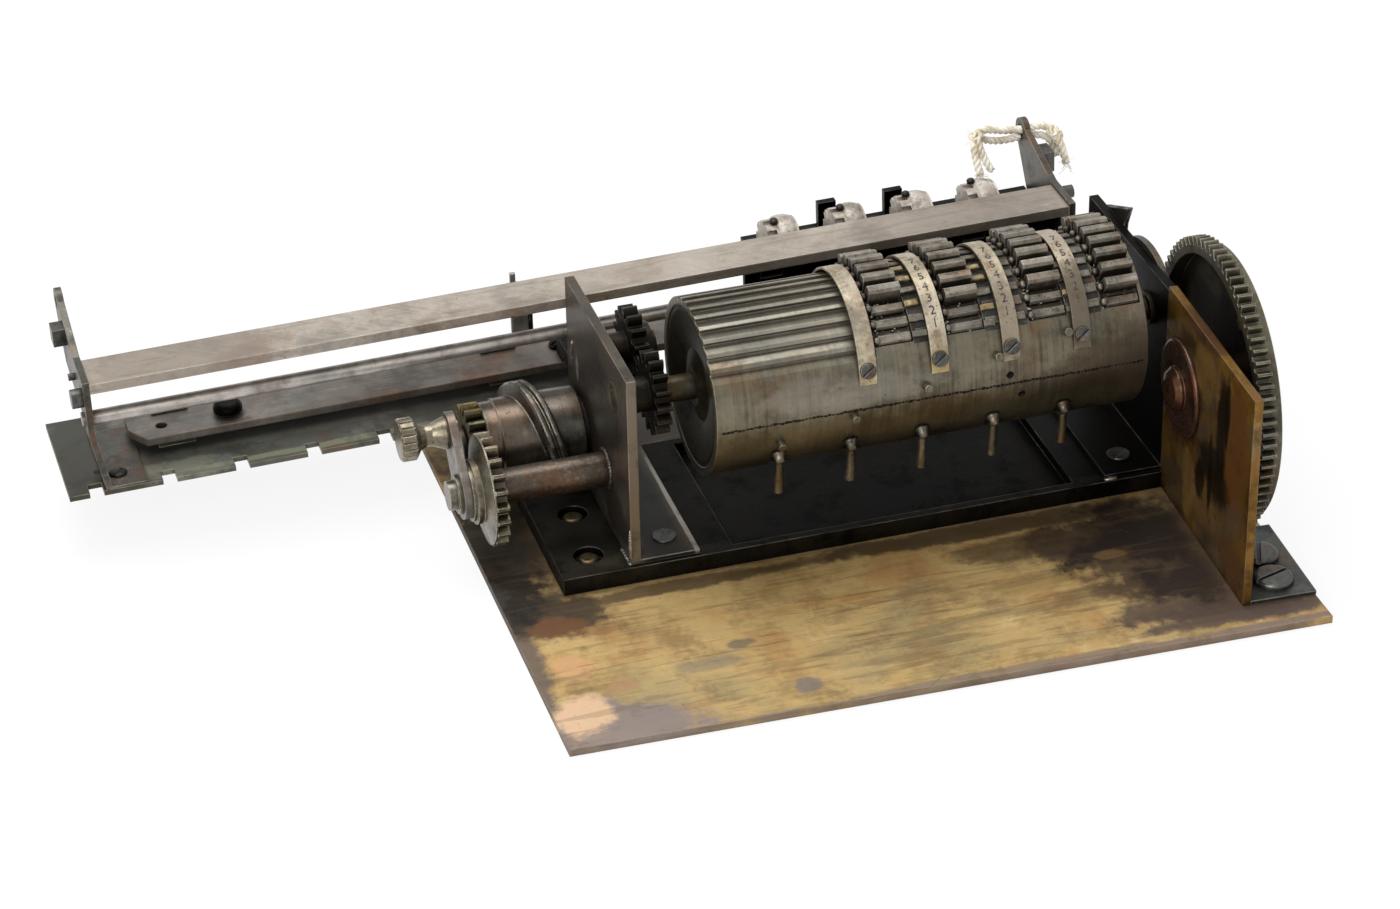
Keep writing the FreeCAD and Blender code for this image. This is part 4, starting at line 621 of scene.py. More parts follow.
BAR_STAINS = (
    ColourPatch((-0.150, 0.044, 0.042), (0.022, 0.02, 0.02), "84786c", 0.6),
    ColourPatch((-0.030, 0.044, 0.046), (0.040, 0.02, 0.02), "b9afa2", 0.4),
    ColourPatch((0.030, 0.044, 0.046), (0.026, 0.02, 0.02), "94897e", 0.6),
)

DRUM_PATCHES_AND_HIGHLIGHT = (
    # The first two darken the drum's lower front.
    ColourPatch((-0.0440, -0.0120, 0.0290), (0.012, 0.020, 0.009), "4a463a", 0.7),
    ColourPatch((0.0150, -0.0180, 0.0300), (0.060, 0.020, 0.0075), "4a4534", 0.5),
    ColourPatch((0.0380, -0.0190, 0.0400), (0.016, 0.012, 0.0060), "5b5040", 0.7),
    ColourPatch((-0.0200, -0.0190, 0.0440), (0.020, 0.012, 0.0040), "8b867a", 0.5),
    # Painted highlight: lightens the top of the drum.
    ColourPatch((-0.0260, -0.0080, 0.0570), (0.030, 0.014, 0.0080), "a39d92", 0.35),
)

NOTCHED_STAINS = (
    ColourPatch((-0.170, 0.055, 0.018), (0.0085, 0.030, 0.01), "3c3b35", 0.8),
    ColourPatch((-0.1676, 0.0470, 0.018), (0.0008, 0.0010, 0.01), "0f0e0c", 0.95, 0.2),
    ColourPatch((-0.150, 0.042, 0.018), (0.013, 0.004, 0.01), "8b8a7c", 0.6),
    ColourPatch((-0.141, 0.042, 0.018), (0.0016, 0.0022, 0.01), "56646c", 0.5),
    ColourPatch((-0.110, 0.041, 0.019), (0.050, 0.0012, 0.01), "8f9378", 0.6),
    ColourPatch((-0.085, 0.045, 0.021), (0.020, 0.006, 0.01), "3b3a34", 0.6),
    ColourPatch((-0.120, 0.050, 0.020), (0.030, 0.003, 0.01), "7b7971", 0.4),
)

STRIP_STAINS = (
    ColourPatch((0.0012, -0.0180, 0.0475), (0.0024, 0.004, 0.0030), "a38c55", 0.85, 0.9),
    ColourPatch((-0.0147, -0.0185, 0.0452), (0.003, 0.004, 0.0012), "9c8a5c", 0.6),
    ColourPatch((0.0171, -0.0150, 0.0520), (0.004, 0.010, 0.0100), "857868", 0.75),
    ColourPatch((0.0329, -0.0120, 0.0510), (0.005, 0.016, 0.0110), "5f5548", 0.9),
    ColourPatch((0.0329, -0.0010, 0.0610), (0.005, 0.009, 0.0060), "a99d8c", 0.6),
)


class Palette:
    """All finishes of the machine, made once and handed out by name."""

    FINISHES = (
        Finish("base_brass", "94794c", "b89b64", "d0b682", 0.5, 0.2, 0.4, grain=Grain.ALONG_X,
               grain_depth=0.25, patch=38.0, grime_and_shade=0.45, grime_and_shade_tone="57452f", wear_tone="b0a79d",
               pits=0.35, scratches=0.5, warm="a56f3c", cool="858060", tint=0.4, reach=0.006,
               stains_and_painted_light=BASE_STAINS),
        Finish("bearing_brass", "50350f", "75541d", "997532", 0.36, 0.25, 0.7, grain=Grain.ALONG_Z,
               grain_depth=0.3, patch=60.0, grime_and_shade=0.6, grime_and_shade_tone="23160a", wear_tone="a98d78", pits=0.4,
               stains_and_painted_light=BEARING_STAINS),
        Finish("blued_steel", "030302", "080706", "12110e", 0.42, 0.25, 1.0, patch=55.0, grime_and_shade=0.5,
               warm="17110b", cool="131513", grime_and_shade_tone="050403", wear_tone="85827a", wear=0.6),
        Finish("bed_steel", "040403", "0a0907", "15130f", 0.5, 0.2, 1.0, patch=55.0, grime_and_shade=0.5,
               warm="1c140d", cool="131513", grime_and_shade_tone="050403", wear_tone="85827a", wear=0.7, pits=0.5,
               stains_and_painted_light=BED_STAINS),
        Finish("plate_steel", "3a342b", "4e473d", "675f55", 0.42, 0.25, 0.75, grain=Grain.ALONG_Z,
               grain_depth=0.25, patch=45.0, grime_and_shade=0.5, grime_and_shade_tone="1e1812", wear_tone="b0a99f", wear=0.9,
               stains_and_painted_light=PLATE_STAINS),
        Finish("dark_plate_steel", "040303", "0a0807", "14110e", 0.5, 0.2, 1.0, warm="20150d",
               cool="171917", grain=Grain.ALONG_Y, grain_depth=0.25, patch=50.0, grime_and_shade=0.45,
               wear_tone="8a867f"),
        Finish("edge_steel", "24211d", "37332e", "504c45", 0.4, 0.2, 0.85, warm="33261b", cool="30332f",
               patch=60.0, grime_and_shade=0.4, grime_and_shade_tone="14110d", wear_tone="b3aea3", wear=0.9),
        Finish("foot_steel", "2d2d29", "3f403c", "585953", 0.42, 0.2, 0.7, patch=60.0, grime_and_shade=0.5,
               grime_and_shade_tone="14130f", wear_tone="aaa89f", wear=0.9),
        Finish("drum_steel", "4f493d", "76705f", "9b9587", 0.33, 0.16, 0.85, grain=Grain.AROUND_X,
               grain_depth=0.3, patch=34.0, grime_and_shade=0.45, scratches=0.12, grime_and_shade_tone="3a3327",
               wear_tone="b3afa3", pits=0.35, stains_and_painted_light=DRUM_PATCHES_AND_HIGHLIGHT),
        Finish("drum_end_steel", "211c14", "3a3427", "605847", 0.4, 0.25, 0.9, warm="3b2a17",
               cool="2b2d26", patch=70.0, grime_and_shade=0.6, grime_and_shade_tone="15110b", wear_tone="a39778", wear=0.9),
        Finish("tooth_steel", "564f44", "827a6e", "aca599", 0.42, 0.25, 0.7, grain=Grain.ALONG_X,
               grain_depth=0.4, patch=110.0, grime_and_shade=0.6, grime_and_shade_tone="2a231a", wear_tone="d2cdc2", wear=0.8,
               pits=0.7, edge=0.0002),
        Finish("bar_steel", "998f84", "b3a99d", "cfc7bb", 0.38, 0.16, 0.8, grain=Grain.DIAGONAL,
               grain_depth=0.32, turn=38.0, patch=44.0, grime_and_shade=0.3, grime_and_shade_tone="75695e",
               wear_tone="d4cdc1", pits=0.5, scratches=0.45, stains_and_painted_light=BAR_STAINS),
        Finish("rod_steel", "96908a", "b9b2ab", "d2cdc7", 0.34, 0.2, 0.8, grain=Grain.ALONG_X,
               grain_depth=0.4, patch=60.0, grime_and_shade=0.45, grime_and_shade_tone="594537", wear_tone="d6d1c9"),
        Finish("rail_steel", "4f4943", "6b655e", "87817a", 0.42, 0.2, 0.75, grain=Grain.ALONG_X,
               grain_depth=0.3, patch=48.0, grime_and_shade=0.4, grime_and_shade_tone="38302a", wear_tone="96684c", wear=0.95,
               edge=0.0005),
        Finish("notched_steel", "43423a", "5a5850", "76746c", 0.4, 0.22, 0.75, grain=Grain.ALONG_X,
               grain_depth=0.25, patch=40.0, grime_and_shade=0.45, grime_and_shade_tone="26251f", wear_tone="a8a67e",
               wear=0.8, stains_and_painted_light=NOTCHED_STAINS),
        Finish("bracket_steel", "383630", "504d46", "75726a", 0.38, 0.22, 0.8, patch=60.0, grime_and_shade=0.45,
               grime_and_shade_tone="25231f", wear_tone="b2aea4", wear=0.8),
        Finish("strip_metal", "94876f", "b7ab95", "d3cbba", 0.4, 0.2, 0.6, grain=Grain.AROUND_X,
               grain_depth=0.25, patch=120.0, grime_and_shade=0.6, grime_and_shade_tone="5d4d35", wear_tone="e2dccd",
               pits=0.8, edge=0.00015, stains_and_painted_light=STRIP_STAINS),
        Finish("crank_metal", "4c4536", "776f5e", "a39b88", 0.27, 0.2, 0.85, patch=90.0, grime_and_shade=0.5,
               grime_and_shade_tone="352b1c", wear_tone="d6cfbb", wear=0.9, edge=0.00025),
        Finish("arm_steel", "514d46", "756f67", "99948a", 0.34, 0.2, 0.8, grain=Grain.ALONG_Z,
               grain_depth=0.3, patch=80.0, grime_and_shade=0.4, grime_and_shade_tone="2c2620", wear_tone="c0bbb1"),
        Finish("hub_steel", "3c3830", "615b52", "8d877c", 0.28, 0.22, 0.85, grain=Grain.AROUND_X,
               grain_depth=0.22, patch=60.0, grime_and_shade=0.5, grime_and_shade_tone="241f17", wear_tone="bdb9ac", wear=0.8,
               edge=0.0005),
        Finish("tube_steel", "322a22", "4f453b", "7b7167", 0.32, 0.22, 0.8, patch=70.0, grime_and_shade=0.5,
               grime_and_shade_tone="221a13", wear_tone="a9a196"),
        Finish("pinion_brass", "3c341f", "5b5130", "857648", 0.34, 0.2, 0.8, patch=110.0, grime_and_shade=0.6,
               grime_and_shade_tone="1e190e", wear_tone="b5a676", wear=0.85, edge=0.0002),
        Finish("dark_brass", "2b2415", "443920", "665732", 0.36, 0.2, 0.8, patch=110.0, grime_and_shade=0.6,
               grime_and_shade_tone="15110a", wear_tone="9c8a58", wear=0.85, edge=0.0002),
        Finish("boss_copper", "41291c", "5e3f2e", "825a44", 0.24, 0.2, 0.8, patch=80.0, grime_and_shade=0.5,
               grime_and_shade_tone="20150d", wear_tone="b98d74", edge=0.0004),
        Finish("wheel_steel", "4c4838", "6a6553", "8a8573", 0.38, 0.22, 0.9, patch=50.0, grime_and_shade=0.45,
               grime_and_shade_tone="221e15", wear_tone="c4c1b2", wear=0.95, edge=0.0003, stains_and_painted_light=GEAR_PAINTED_REFLECTIONS),
        Finish("gear_dark", "12100c", "211e18", "3b362d", 0.38, 0.22, 0.9, warm="2e2013", cool="22231e",
               patch=90.0, grime_and_shade=0.5, wear_tone="79736a", wear=0.7, edge=0.0002),
        Finish("pale_alloy", "8a8175", "b3aa9f", "dcd7cf", 0.5, 0.2, 0.35, patch=200.0, grime_and_shade=0.6,
               tint=0.3, grime_and_shade_tone="574d44", wear_tone="e8e3dc", edge=0.0002),
        Finish("screw_steel", "3d3c38", "5a5955", "7f7e7a", 0.34, 0.2, 0.85, patch=120.0, grime_and_shade=0.45,
               wear_tone="a8a6a0", wear=0.8, edge=0.0002),
        Finish("screw_brass", "40392a", "665c43", "99906f", 0.34, 0.2, 0.85, patch=260.0, grime_and_shade=0.7,
               grime_and_shade_tone="211a0f", wear_tone="d8cca0", wear=0.8, edge=0.0003),
        Finish("solder", "7d7c76", "a3a29c", "cfcfca", 0.26, 0.2, 0.9, patch=200.0, grime_and_shade=0.3,
               grime_and_shade_tone="44423c", wear_tone="e2e1dc"),
        Finish("pin_metal", "3c382e", "5c574a", "857f70", 0.32, 0.2, 0.85, patch=140.0, grime_and_shade=0.45,
               grime_and_shade_tone="1d1a14", wear_tone="b5ac96", edge=0.0002),
        Finish("rib_steel", "4c463b", "6e675b", "958d80", 0.4, 0.2, 0.6, patch=160.0, grime_and_shade=0.6,
               grime_and_shade_tone="221d15", wear_tone="b9b3a5", wear=0.8, edge=0.0002),
        Finish("rib_brass", "6b5a34", "94815a", "bcae8c", 0.42, 0.2, 0.5, patch=180.0, grime_and_shade=0.5,
               grime_and_shade_tone="3c3020", wear_tone="d2c8a8", wear=0.8, edge=0.0002),
        Finish("verdigris", "8c9180", "b1b5a3", "d8d9cd", 0.75, 0.2, 0.0, patch=300.0, grime_and_shade=0.3,
               grime_and_shade_tone="5d5f50", wear=0.0),
        # Near-black: real dark grit, and painted shade in the drum's slots and the screw slot.
        Finish("soot_and_shade", "0d0b08", "17130e", "272119", 0.7, 0.2, 0.1, patch=200.0, grime_and_shade=0.4, wear=0.0),
    )

    def __init__(self) -> None:
        """Make every finish's material."""
        self.made = {finish.name: finish.make() for finish in self.FINISHES}
        self.made["cotton"] = CottonFinish().make()
        self.made["digit_black"] = self.ink()

    def ink(self) -> bpy.types.Material:
        """Dark fill of the stamped digits.

        Returns:
            The material.
        """
        material = bpy.data.materials.new("digit_black")
        draw = Sketcher(material)
        worn = draw.noise(draw.coords(), 900.0, 3.0)
        shader = draw.node("ShaderNodeBsdfPrincipled")
        colour = draw.blend(draw.span(worn, 0.5, 0.66), tone("2a2024"), tone("6d6157"))
        draw.join(colour, shader.inputs["Base Color"])
        shader.inputs["Roughness"].default_value = 0.6
        draw.surface(shader)
        return material

    def dress(self, name: str, finish: str) -> None:
        """Give a CAD node one of the finishes.

        Args:
            name: The node.
            finish: The finish's name.
        """
        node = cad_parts[name]
        node.data.materials.clear()
        node.data.materials.append(self.made[finish])


@dataclass
class Maker:
    """Turns lists of points into pieces that ride on a body."""

    palette: Palette

    def piece(self, name: str, mesh: bpy.types.Mesh, finish: str, body: str,
              smooth: bool = True) -> bpy.types.Object:
        """Wrap a mesh as a finished piece.

        Args:
            name: Piece name.
            mesh: Its mesh.
            finish: Finish name.
            body: Body it rides on.
            smooth: Whether it is shaded smooth.

        Returns:
            The piece.
        """
        made = bpy.data.objects.new(name, mesh)
        bpy.context.scene.collection.objects.link(made)
        mesh.materials.append(self.palette.made[finish])
        mesh.polygons.foreach_set("use_smooth", [smooth] * len(mesh.polygons))
        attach(made, body)
        return made

    def lathe(self, name: str, profile: list[tuple[float, float]], spots: list[Matrix],
              sides: int = 20) -> bpy.types.Mesh:
        """Revolve one profile about its own Z at several places.

        Args:
            name: Mesh name.
            profile: Radius and height pairs, first and last on the axis.
            spots: A placement for each copy.
            sides: Steps round the axis.

        Returns:
            One mesh with every copy.
        """
        work = bmesh.new()
        for place in spots:
            rings = []
            for radius, height in profile:
                if radius < 1e-7:
                    rings.append([work.verts.new(place @ Vector((0, 0, height)))])
                    continue
                turn = [2 * math.pi * i / sides for i in range(sides)]
                ring = [place @ Vector((radius * math.cos(a), radius * math.sin(a), height)) for a in turn]
                rings.append([work.verts.new(point) for point in ring])
            for low, high in zip(rings, rings[1:]):
                self.bridge(work, low, high)
        return settled(work, name)

    @staticmethod
    def bridge(work: bmesh.types.BMesh, low: list, high: list) -> None:
        """Join two rings of vertices, either of which may be one point.

        Args:
            work: The mesh being made.
            low: First ring.
            high: Second ring.
        """
        count = max(len(low), len(high))
        for i in range(count):
            j = (i + 1) % count
            if len(low) == 1:
                work.faces.new((low[0], high[i], high[j]))
            elif len(high) == 1:
                work.faces.new((low[i], low[j], high[0]))
            else:
                work.faces.new((low[i], low[j], high[j], high[i]))

    def tubes(self, name: str, paths: list[list[Vector]], radius: float, sides: int = 8) -> bpy.types.Mesh:
        """Round tubes along several paths, closed at their ends.

        Args:
            name: Mesh name.
            paths: Points of each path.
            radius: Tube radius.
            sides: Steps round each tube.

        Returns:
            One mesh with every tube.
        """
        work = bmesh.new()
        for path in paths:
            rings = []
            normal = None
            for i, point in enumerate(path):
                ahead = (path[min(i + 1, len(path) - 1)] - path[max(i - 1, 0)]).normalized()
                if normal is None:
                    normal = ahead.orthogonal().normalized()
                normal = (normal - ahead * normal.dot(ahead)).normalized()
                other = ahead.cross(normal)
                rings.append([work.verts.new(point + radius * (normal * math.cos(a) + other * math.sin(a)))
                              for a in (2 * math.pi * k / sides for k in range(sides))])
            for low, high in zip(rings, rings[1:]):
                self.bridge(work, low, high)
            work.faces.new(list(reversed(rings[0])))
            work.faces.new(rings[-1])
        return settled(work, name)

    def bars(self, name: str, rows: list[tuple[float, ...]], seed: int) -> bpy.types.Mesh:
        """Worn flat bars lying along the drum.

        Args:
            name: Mesh name.
            rows: Left end, right end, angle, lower radius, upper radius and width of each.
            seed: Seed of their unevenness.

        Returns:
            One mesh with every bar.
        """
        rng = random.Random(seed)
        work = bmesh.new()
        for x0, x1, degrees, low, high, width in rows:
            half = width / 2
            cut = min(0.00018, half / 2)
            section = [(-half, low), (half, low), (half, high - cut), (half - cut, high),
                       (cut - half, high), (-half, high - cut)]
            rings = []
            for step in range(5):
                x = x0 + (x1 - x0) * step / 4
                lift = rng.uniform(-0.00006, 0.00006)
                lean = degrees + rng.uniform(-0.25, 0.25)
                tangent = around(lean + 90, 1.0, 0.0) - around(lean, 0.0, 0.0)
                rings.append([work.verts.new(around(lean, r + lift, x) + tangent * t) for t, r in section])
            for first, second in zip(rings, rings[1:]):
                self.bridge(work, first, second)
            work.faces.new(list(reversed(rings[0])))
            work.faces.new(rings[-1])
        return settled(work, name)

    def blobs(self, name: str, spots: list[tuple[Vector, Vector]], seed: int,
              detail: int = 2) -> bpy.types.Mesh:
        """Lumpy flattened beads, such as solder.

        Args:
            name: Mesh name.
            spots: Centre and half-sizes of each bead.
            seed: Seed of the lumps.
            detail: Subdivisions of each bead.

        Returns:
            One mesh with every bead.
        """
        rng = random.Random(seed)
        work = bmesh.new()
        for centre, half in spots:
            made = bmesh.ops.create_icosphere(work, subdivisions=detail, radius=1.0)
            for vertex in made["verts"]:
                lump = 1 + rng.uniform(-0.16, 0.16)
                vertex.co = centre + Vector(c * h * lump for c, h in zip(vertex.co, half))
        return settled(work, name, outward=False)


def around(degrees: float, radius: float, x: float) -> Vector:
    """Point on the drum at an angle from the back, over the top."""
    a = math.radians(degrees)
    return Vector((x, radius * math.cos(a), AXIS_Z + radius * math.sin(a)))


def facing(point: Vector, out: Vector, along: Vector) -> Matrix:
    """Placement whose Z points out and whose X runs along another direction.

    Args:
        point: Its origin.
        out: Direction of Z.
        along: Direction nearest to X.

    Returns:
        The placement.
    """
    z = out.normalized()
    x = (along - z * along.dot(z)).normalized()
    y = z.cross(x)
    made = Matrix((x, y, z)).transposed().to_4x4()
    made.translation = point
    return made


@dataclass
class Studio:
    """Camera, floor, lamps and surroundings."""

    place: tuple[float, float, float] = (-0.253209, -0.700809, 0.470511)
    right: tuple[float, float, float] = (0.95564627, -0.29397847, -0.01780092)
    up: tuple[float, float, float] = (0.16797895, 0.49441409, 0.852841)
    lens: float = 103.8215
    ambient: float = 0.7
    overhead: float = 6.5
    fill: float = 6.0
    floor_white: float = 0.86
    floor_reach: float = 6.0
    floor_drop: float = 0.0002
    sensor: float = 36.0

    def camera(self) -> None:
        """Place the camera at the viewing angle."""
        data = bpy.data.cameras.new("camera")
        data.lens = self.lens
        data.sensor_width = self.sensor
        data.clip_start = 0.01
        made = bpy.data.objects.new("camera", data)
        right = Vector(self.right).normalized()
        back = right.cross(Vector(self.up)).normalized()
        up = back.cross(right)
        made.matrix_world = Matrix.Translation(self.place) @ Matrix((right, up, back)).transposed().to_4x4()
        bpy.context.scene.collection.objects.link(made)
        bpy.context.scene.camera = made

    def floor(self) -> None:
        """Lay the pale floor, white to the camera but for a faint shadow."""
        mesh = bpy.data.meshes.new("floor")
        reach = self.floor_reach
        mesh.from_pydata([(-reach, -reach, 0), (reach, -reach, 0), (reach, reach, 0), (-reach, reach, 0)], [],
                         [(0, 1, 2, 3)])
        made = bpy.data.objects.new("floor", mesh)
        made.location.z = -self.floor_drop
        bpy.context.scene.collection.objects.link(made)
        material = bpy.data.materials.new("floor_white")
        draw = Sketcher(material)
        diffuse = draw.node("ShaderNodeBsdfDiffuse")
        diffuse.inputs["Color"].default_value = (0.92, 0.92, 0.92, 1)
        glow = draw.node("ShaderNodeEmission")
        glow.inputs["Strength"].default_value = 1.0
        draw.surface(draw.white_to_camera(diffuse, glow, self.floor_white))
        mesh.materials.append(material)

    def lamp(self, name: str, place: tuple[float, float, float], size: float, power: float) -> None:
        """Add a square lamp aimed at the machine.

        Args:
            name: Lamp name.
            place: Its place.
            size: Its side.
            power: Its power in watts.
        """
        data = bpy.data.lights.new(name, "AREA")
        data.size = size
        data.energy = power
        made = bpy.data.objects.new(name, data)
        made.location = place
        aim = Vector((0, 0, 0.03)) - Vector(place)
        made.rotation_euler = aim.to_track_quat("-Z", "Y").to_euler()
        bpy.context.scene.collection.objects.link(made)

    def surroundings(self) -> None:
        """Light the world evenly and show it white behind everything."""
        world = bpy.data.worlds.new("studio")
        bpy.context.scene.world = world
        draw = Sketcher(world)
        dim = draw.node("ShaderNodeBackground")
        dim.inputs["Strength"].default_value = self.ambient
        white = draw.node("ShaderNodeBackground")
        white.inputs["Strength"].default_value = 1.0
        draw.surface(draw.white_to_camera(dim, white), "World")

    def build(self) -> None:
        """Set up the whole studio."""
        bpy.context.scene.view_settings.view_transform = "Standard"
        self.camera()
        self.floor()
        self.surroundings()
        self.lamp("overhead", (-0.15, 0.25, 0.9), 0.7, self.overhead)
        self.lamp("front_fill", (-0.55, -0.7, 0.5), 0.6, self.fill)


@dataclass
class TwistedString:
    """Loop of twisted cotton through the right bracket's eye."""

    palette: Palette
    diameter: float = 0.0019
    route: tuple[tuple[float, float, float], ...] = (
        (0.04023, 0.06230, 0.04499), (0.03892, 0.06410, 0.05057), (0.04146, 0.06790, 0.05362),
        (0.04810, 0.06910, 0.05155), (0.05332, 0.06950, 0.05065), (0.05871, 0.07010, 0.05116),
        (0.06157, 0.06730, 0.04822), (0.06228, 0.06490, 0.04283),
    )

    returns: tuple[tuple[tuple[float, float, float], ...], ...] = (
        ((0.0398, 0.0658, 0.0526), (0.0424, 0.0680, 0.0507), (0.0470, 0.0690, 0.0490),
         (0.0512, 0.0693, 0.0490), (0.0523, 0.0694, 0.0492)),
        ((0.0547, 0.0695, 0.0489), (0.0575, 0.0700, 0.0488), (0.0603, 0.0688, 0.0472),
         (0.0607, 0.0671, 0.0440)),
        ((0.0402, 0.0648, 0.0530), (0.0408, 0.0636, 0.0500), (0.0420, 0.0628, 0.0470),
         (0.0430, 0.0622, 0.0455)),
    )
    knots: tuple[tuple[float, float, float], ...] = (
        (0.0403, 0.0662, 0.0527), (0.0412, 0.0672, 0.0519),
        (0.0601, 0.0686, 0.0497), (0.0610, 0.0680, 0.0486))

    def line(self, route: tuple[tuple[float, float, float], ...]) -> list[Vector]:
        """Points along a smooth spline.

        Args:
            route: The spline's control points.

        Returns:
            The centreline.
        """
        curve = bpy.data.curves.new("string_line", "CURVE")
        curve.dimensions = "3D"
        curve.resolution_u = 24
        spline = curve.splines.new("NURBS")
        spline.points.add(len(route) - 1)
        for point, place in zip(spline.points, route):
            point.co = (*place, 1.0)
        spline.order_u = 3
        spline.use_endpoint_u = True
        holder = bpy.data.objects.new("string_line", curve)
        bpy.context.scene.collection.objects.link(holder)
        bpy.context.view_layer.update()
        read = bpy.data.meshes.new_from_object(holder)
        points = [vertex.co.copy() for vertex in read.vertices]
        bpy.data.objects.remove(holder)
        bpy.data.curves.remove(curve)
        bpy.data.meshes.remove(read)
        return points

    def twisted(self, points: list[Vector], turn_length: float = 0.0042) -> list[list[Vector]]:
        """Wind three strands round a centreline.

        Args:
            points: The centreline.
            turn_length: Length of one turn.

        Returns:
            The strands' paths.
        """
        offset = self.diameter * 0.25
        strands = [[], [], []]
        run = 0.0
        normal = None
        for i, point in enumerate(points):
            ahead = (points[min(i + 1, len(points) - 1)] - points[max(i - 1, 0)]).normalized()
            normal = ahead.orthogonal().normalized() if normal is None else normal
            normal = (normal - ahead * normal.dot(ahead)).normalized()
            if i:
                run += (point - points[i - 1]).length
            for strand in range(3):
                angle = 2 * math.pi * (strand / 3 + run / turn_length)
                side = normal * math.cos(angle) + ahead.cross(normal) * math.sin(angle)
                strands[strand].append(point + offset * side)
        return strands

    def loops(self) -> list[list[Vector]]:
        """Small loose loops of yarn where the string is knotted.

        Returns:
            The loops' paths.
        """
        rng = random.Random(14)
        made = []
        for place in self.knots:
            for _ in range(3):
                a = Vector((rng.uniform(-1, 1), rng.uniform(-1, 1), rng.uniform(-1, 1))).normalized()
                b = a.orthogonal().normalized()
                reach = rng.uniform(0.0008, 0.0012)
                span = rng.uniform(4.2, 6.0)
                rise = a.cross(b) * 0.00012
                made.append([Vector(place) + reach * (a * math.cos(t) + b * math.sin(t)) + rise * t
                             for t in (span * k / 20 for k in range(21))])
        return made

    def fibres(self, ends: list[Vector]) -> list[list[Vector]]:
        """Frayed hairs at the string's ends and knots.

        Args:
            ends: Where hairs start.

        Returns:
            The hairs' paths.
        """
        rng = random.Random(9)
        made = []
        for end in ends:
            for _ in range(16):
                start = end + Vector([rng.uniform(-0.0006, 0.0006) for _ in range(3)])
                way = Vector((rng.uniform(-1, 1), rng.uniform(-1, 1), rng.uniform(-1.3, 0.5))).normalized()
                bend = Vector([rng.uniform(-1, 1) for _ in range(3)]) * 0.0007
                reach = rng.uniform(0.0009, 0.0024)
                made.append([start + way * reach * t + bend * t * t for t in (0, 0.25, 0.5, 0.75, 1.0)])
        return made

    def build(self) -> None:
        """Lay the string, its second strands, knots and frayed hairs."""
        maker = Maker(self.palette)
        points = self.line(self.route)
        mesh = maker.tubes("cotton_string", self.twisted(points), self.diameter * 0.26, 10)
        made = maker.piece("cotton_string", mesh, "cotton", "carriage")
        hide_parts("string")
        strands = [path for route in self.returns for path in self.twisted(self.line(route))]
        mesh = maker.tubes("string_returns", strands, self.diameter * 0.23, 8)
        second = maker.piece("string_returns", mesh, "cotton", "carriage")
        mesh = maker.tubes("string_knots", self.loops(), 0.00042, 8)
        knots = maker.piece("string_knots", mesh, "cotton", "carriage")
        ends = [points[0], points[-1]] + [Vector(place) for place in self.knots]
        mesh = maker.tubes("string_hairs", self.fibres(ends), 0.00006, 4)
        hairs = maker.piece("string_hairs", mesh, "cotton", "carriage")


@dataclass
class FramePart:
    """Base, bed, side plates, bearing plate, rail and their small details."""

    palette: Palette
    finishes: dict[str, str] = field(default_factory=lambda: {
        "base_plate": "base_brass", "bed_plate": "bed_steel", "bed_screws": "screw_brass",
        "left_side_plate": "plate_steel", "right_side_plate": "dark_plate_steel",
        "frame_screws": "screw_steel", "drum_bearings": "dark_brass", "bearing_cover_disc": "bracket_steel",
        "bearing_plate": "bearing_brass", "bearing_plate_foot": "foot_steel", "gear_boss": "boss_copper",
        "crank_bearing_tube": "tube_steel", "hub_stud": "tube_steel", "idler_stud": "gear_dark",
        "carriage_rail": "rail_steel", "rail_screws": "blued_steel", "rail_bracket": "dark_plate_steel",
    })

    def build(self) -> None:
        """Dress the frame and add its solder."""
        for node, finish in self.finishes.items():
            self.palette.dress(node, finish)
        self.solder()
        self.pointed_lug()

    def solder(self) -> None:
        """Run solder down the left plate's front corner, round the crank's tube and over the bed."""
        maker = Maker(self.palette)
        beads = [(Vector((0.0440, -0.0108, 0.0058)), Vector((0.0016, 0.0007, 0.0006)))]
        for i in range(12):
            size = 0.00022 + 0.0003 * math.sin(math.pi * (i + 1) / 13)
            beads.append((Vector((-0.06465, -0.0102, 0.0058 + 0.0007 * i)), Vector((size, size, 0.0008))))
        for i in range(6):
            beads.append((Vector((-0.0648, -0.0098 + 0.0011 * i, 0.0058)), Vector((0.0005, 0.0009, 0.0004))))
        for i in range(7):
            size = 0.0003 + 0.00025 * math.sin(math.pi * (i + 1) / 8)
            place = Vector((-0.06465, 0.0336 - 0.0002 * i, 0.0308 + 0.0009 * i))
            beads.append((place, Vector((0.0003, size, 0.0010))))
        mesh = maker.blobs("solder_beads", beads, 3)
        maker.piece("solder_beads", mesh, "solder", "frame")
        centre = Vector((-0.0647, 0.0075, 0.0193))
        ring = []
        for i in range(40):
            a = 2 * math.pi * i / 40
            ring.append((centre + Vector((0, 0.0040 * math.cos(a), 0.0040 * math.sin(a))),
                         Vector((0.0006, 0.00075, 0.00075))))
        maker.piece("tube_solder", maker.blobs("tube_solder", ring, 8), "tube_steel", "frame")

    def pointed_lug(self) -> None:
        """Fix the small pointed catch behind the right plate's top edge."""
        work = bmesh.new()
        rings = [[work.verts.new((x, y * MM, z * MM)) for y, z in LUG_OUTLINE] for x in (0.05785, 0.0590)]
        Maker.bridge(work, rings[0], rings[1])
        work.faces.new(list(reversed(rings[0])))
        work.faces.new(rings[1])
        bmesh.ops.bevel(work, geom=list(work.edges), offset=0.00025, segments=2, affect="EDGES")
        mesh = settled(work, "pointed_lug")
        Maker(self.palette).piece("pointed_lug", mesh, "edge_steel", "frame", smooth=False)


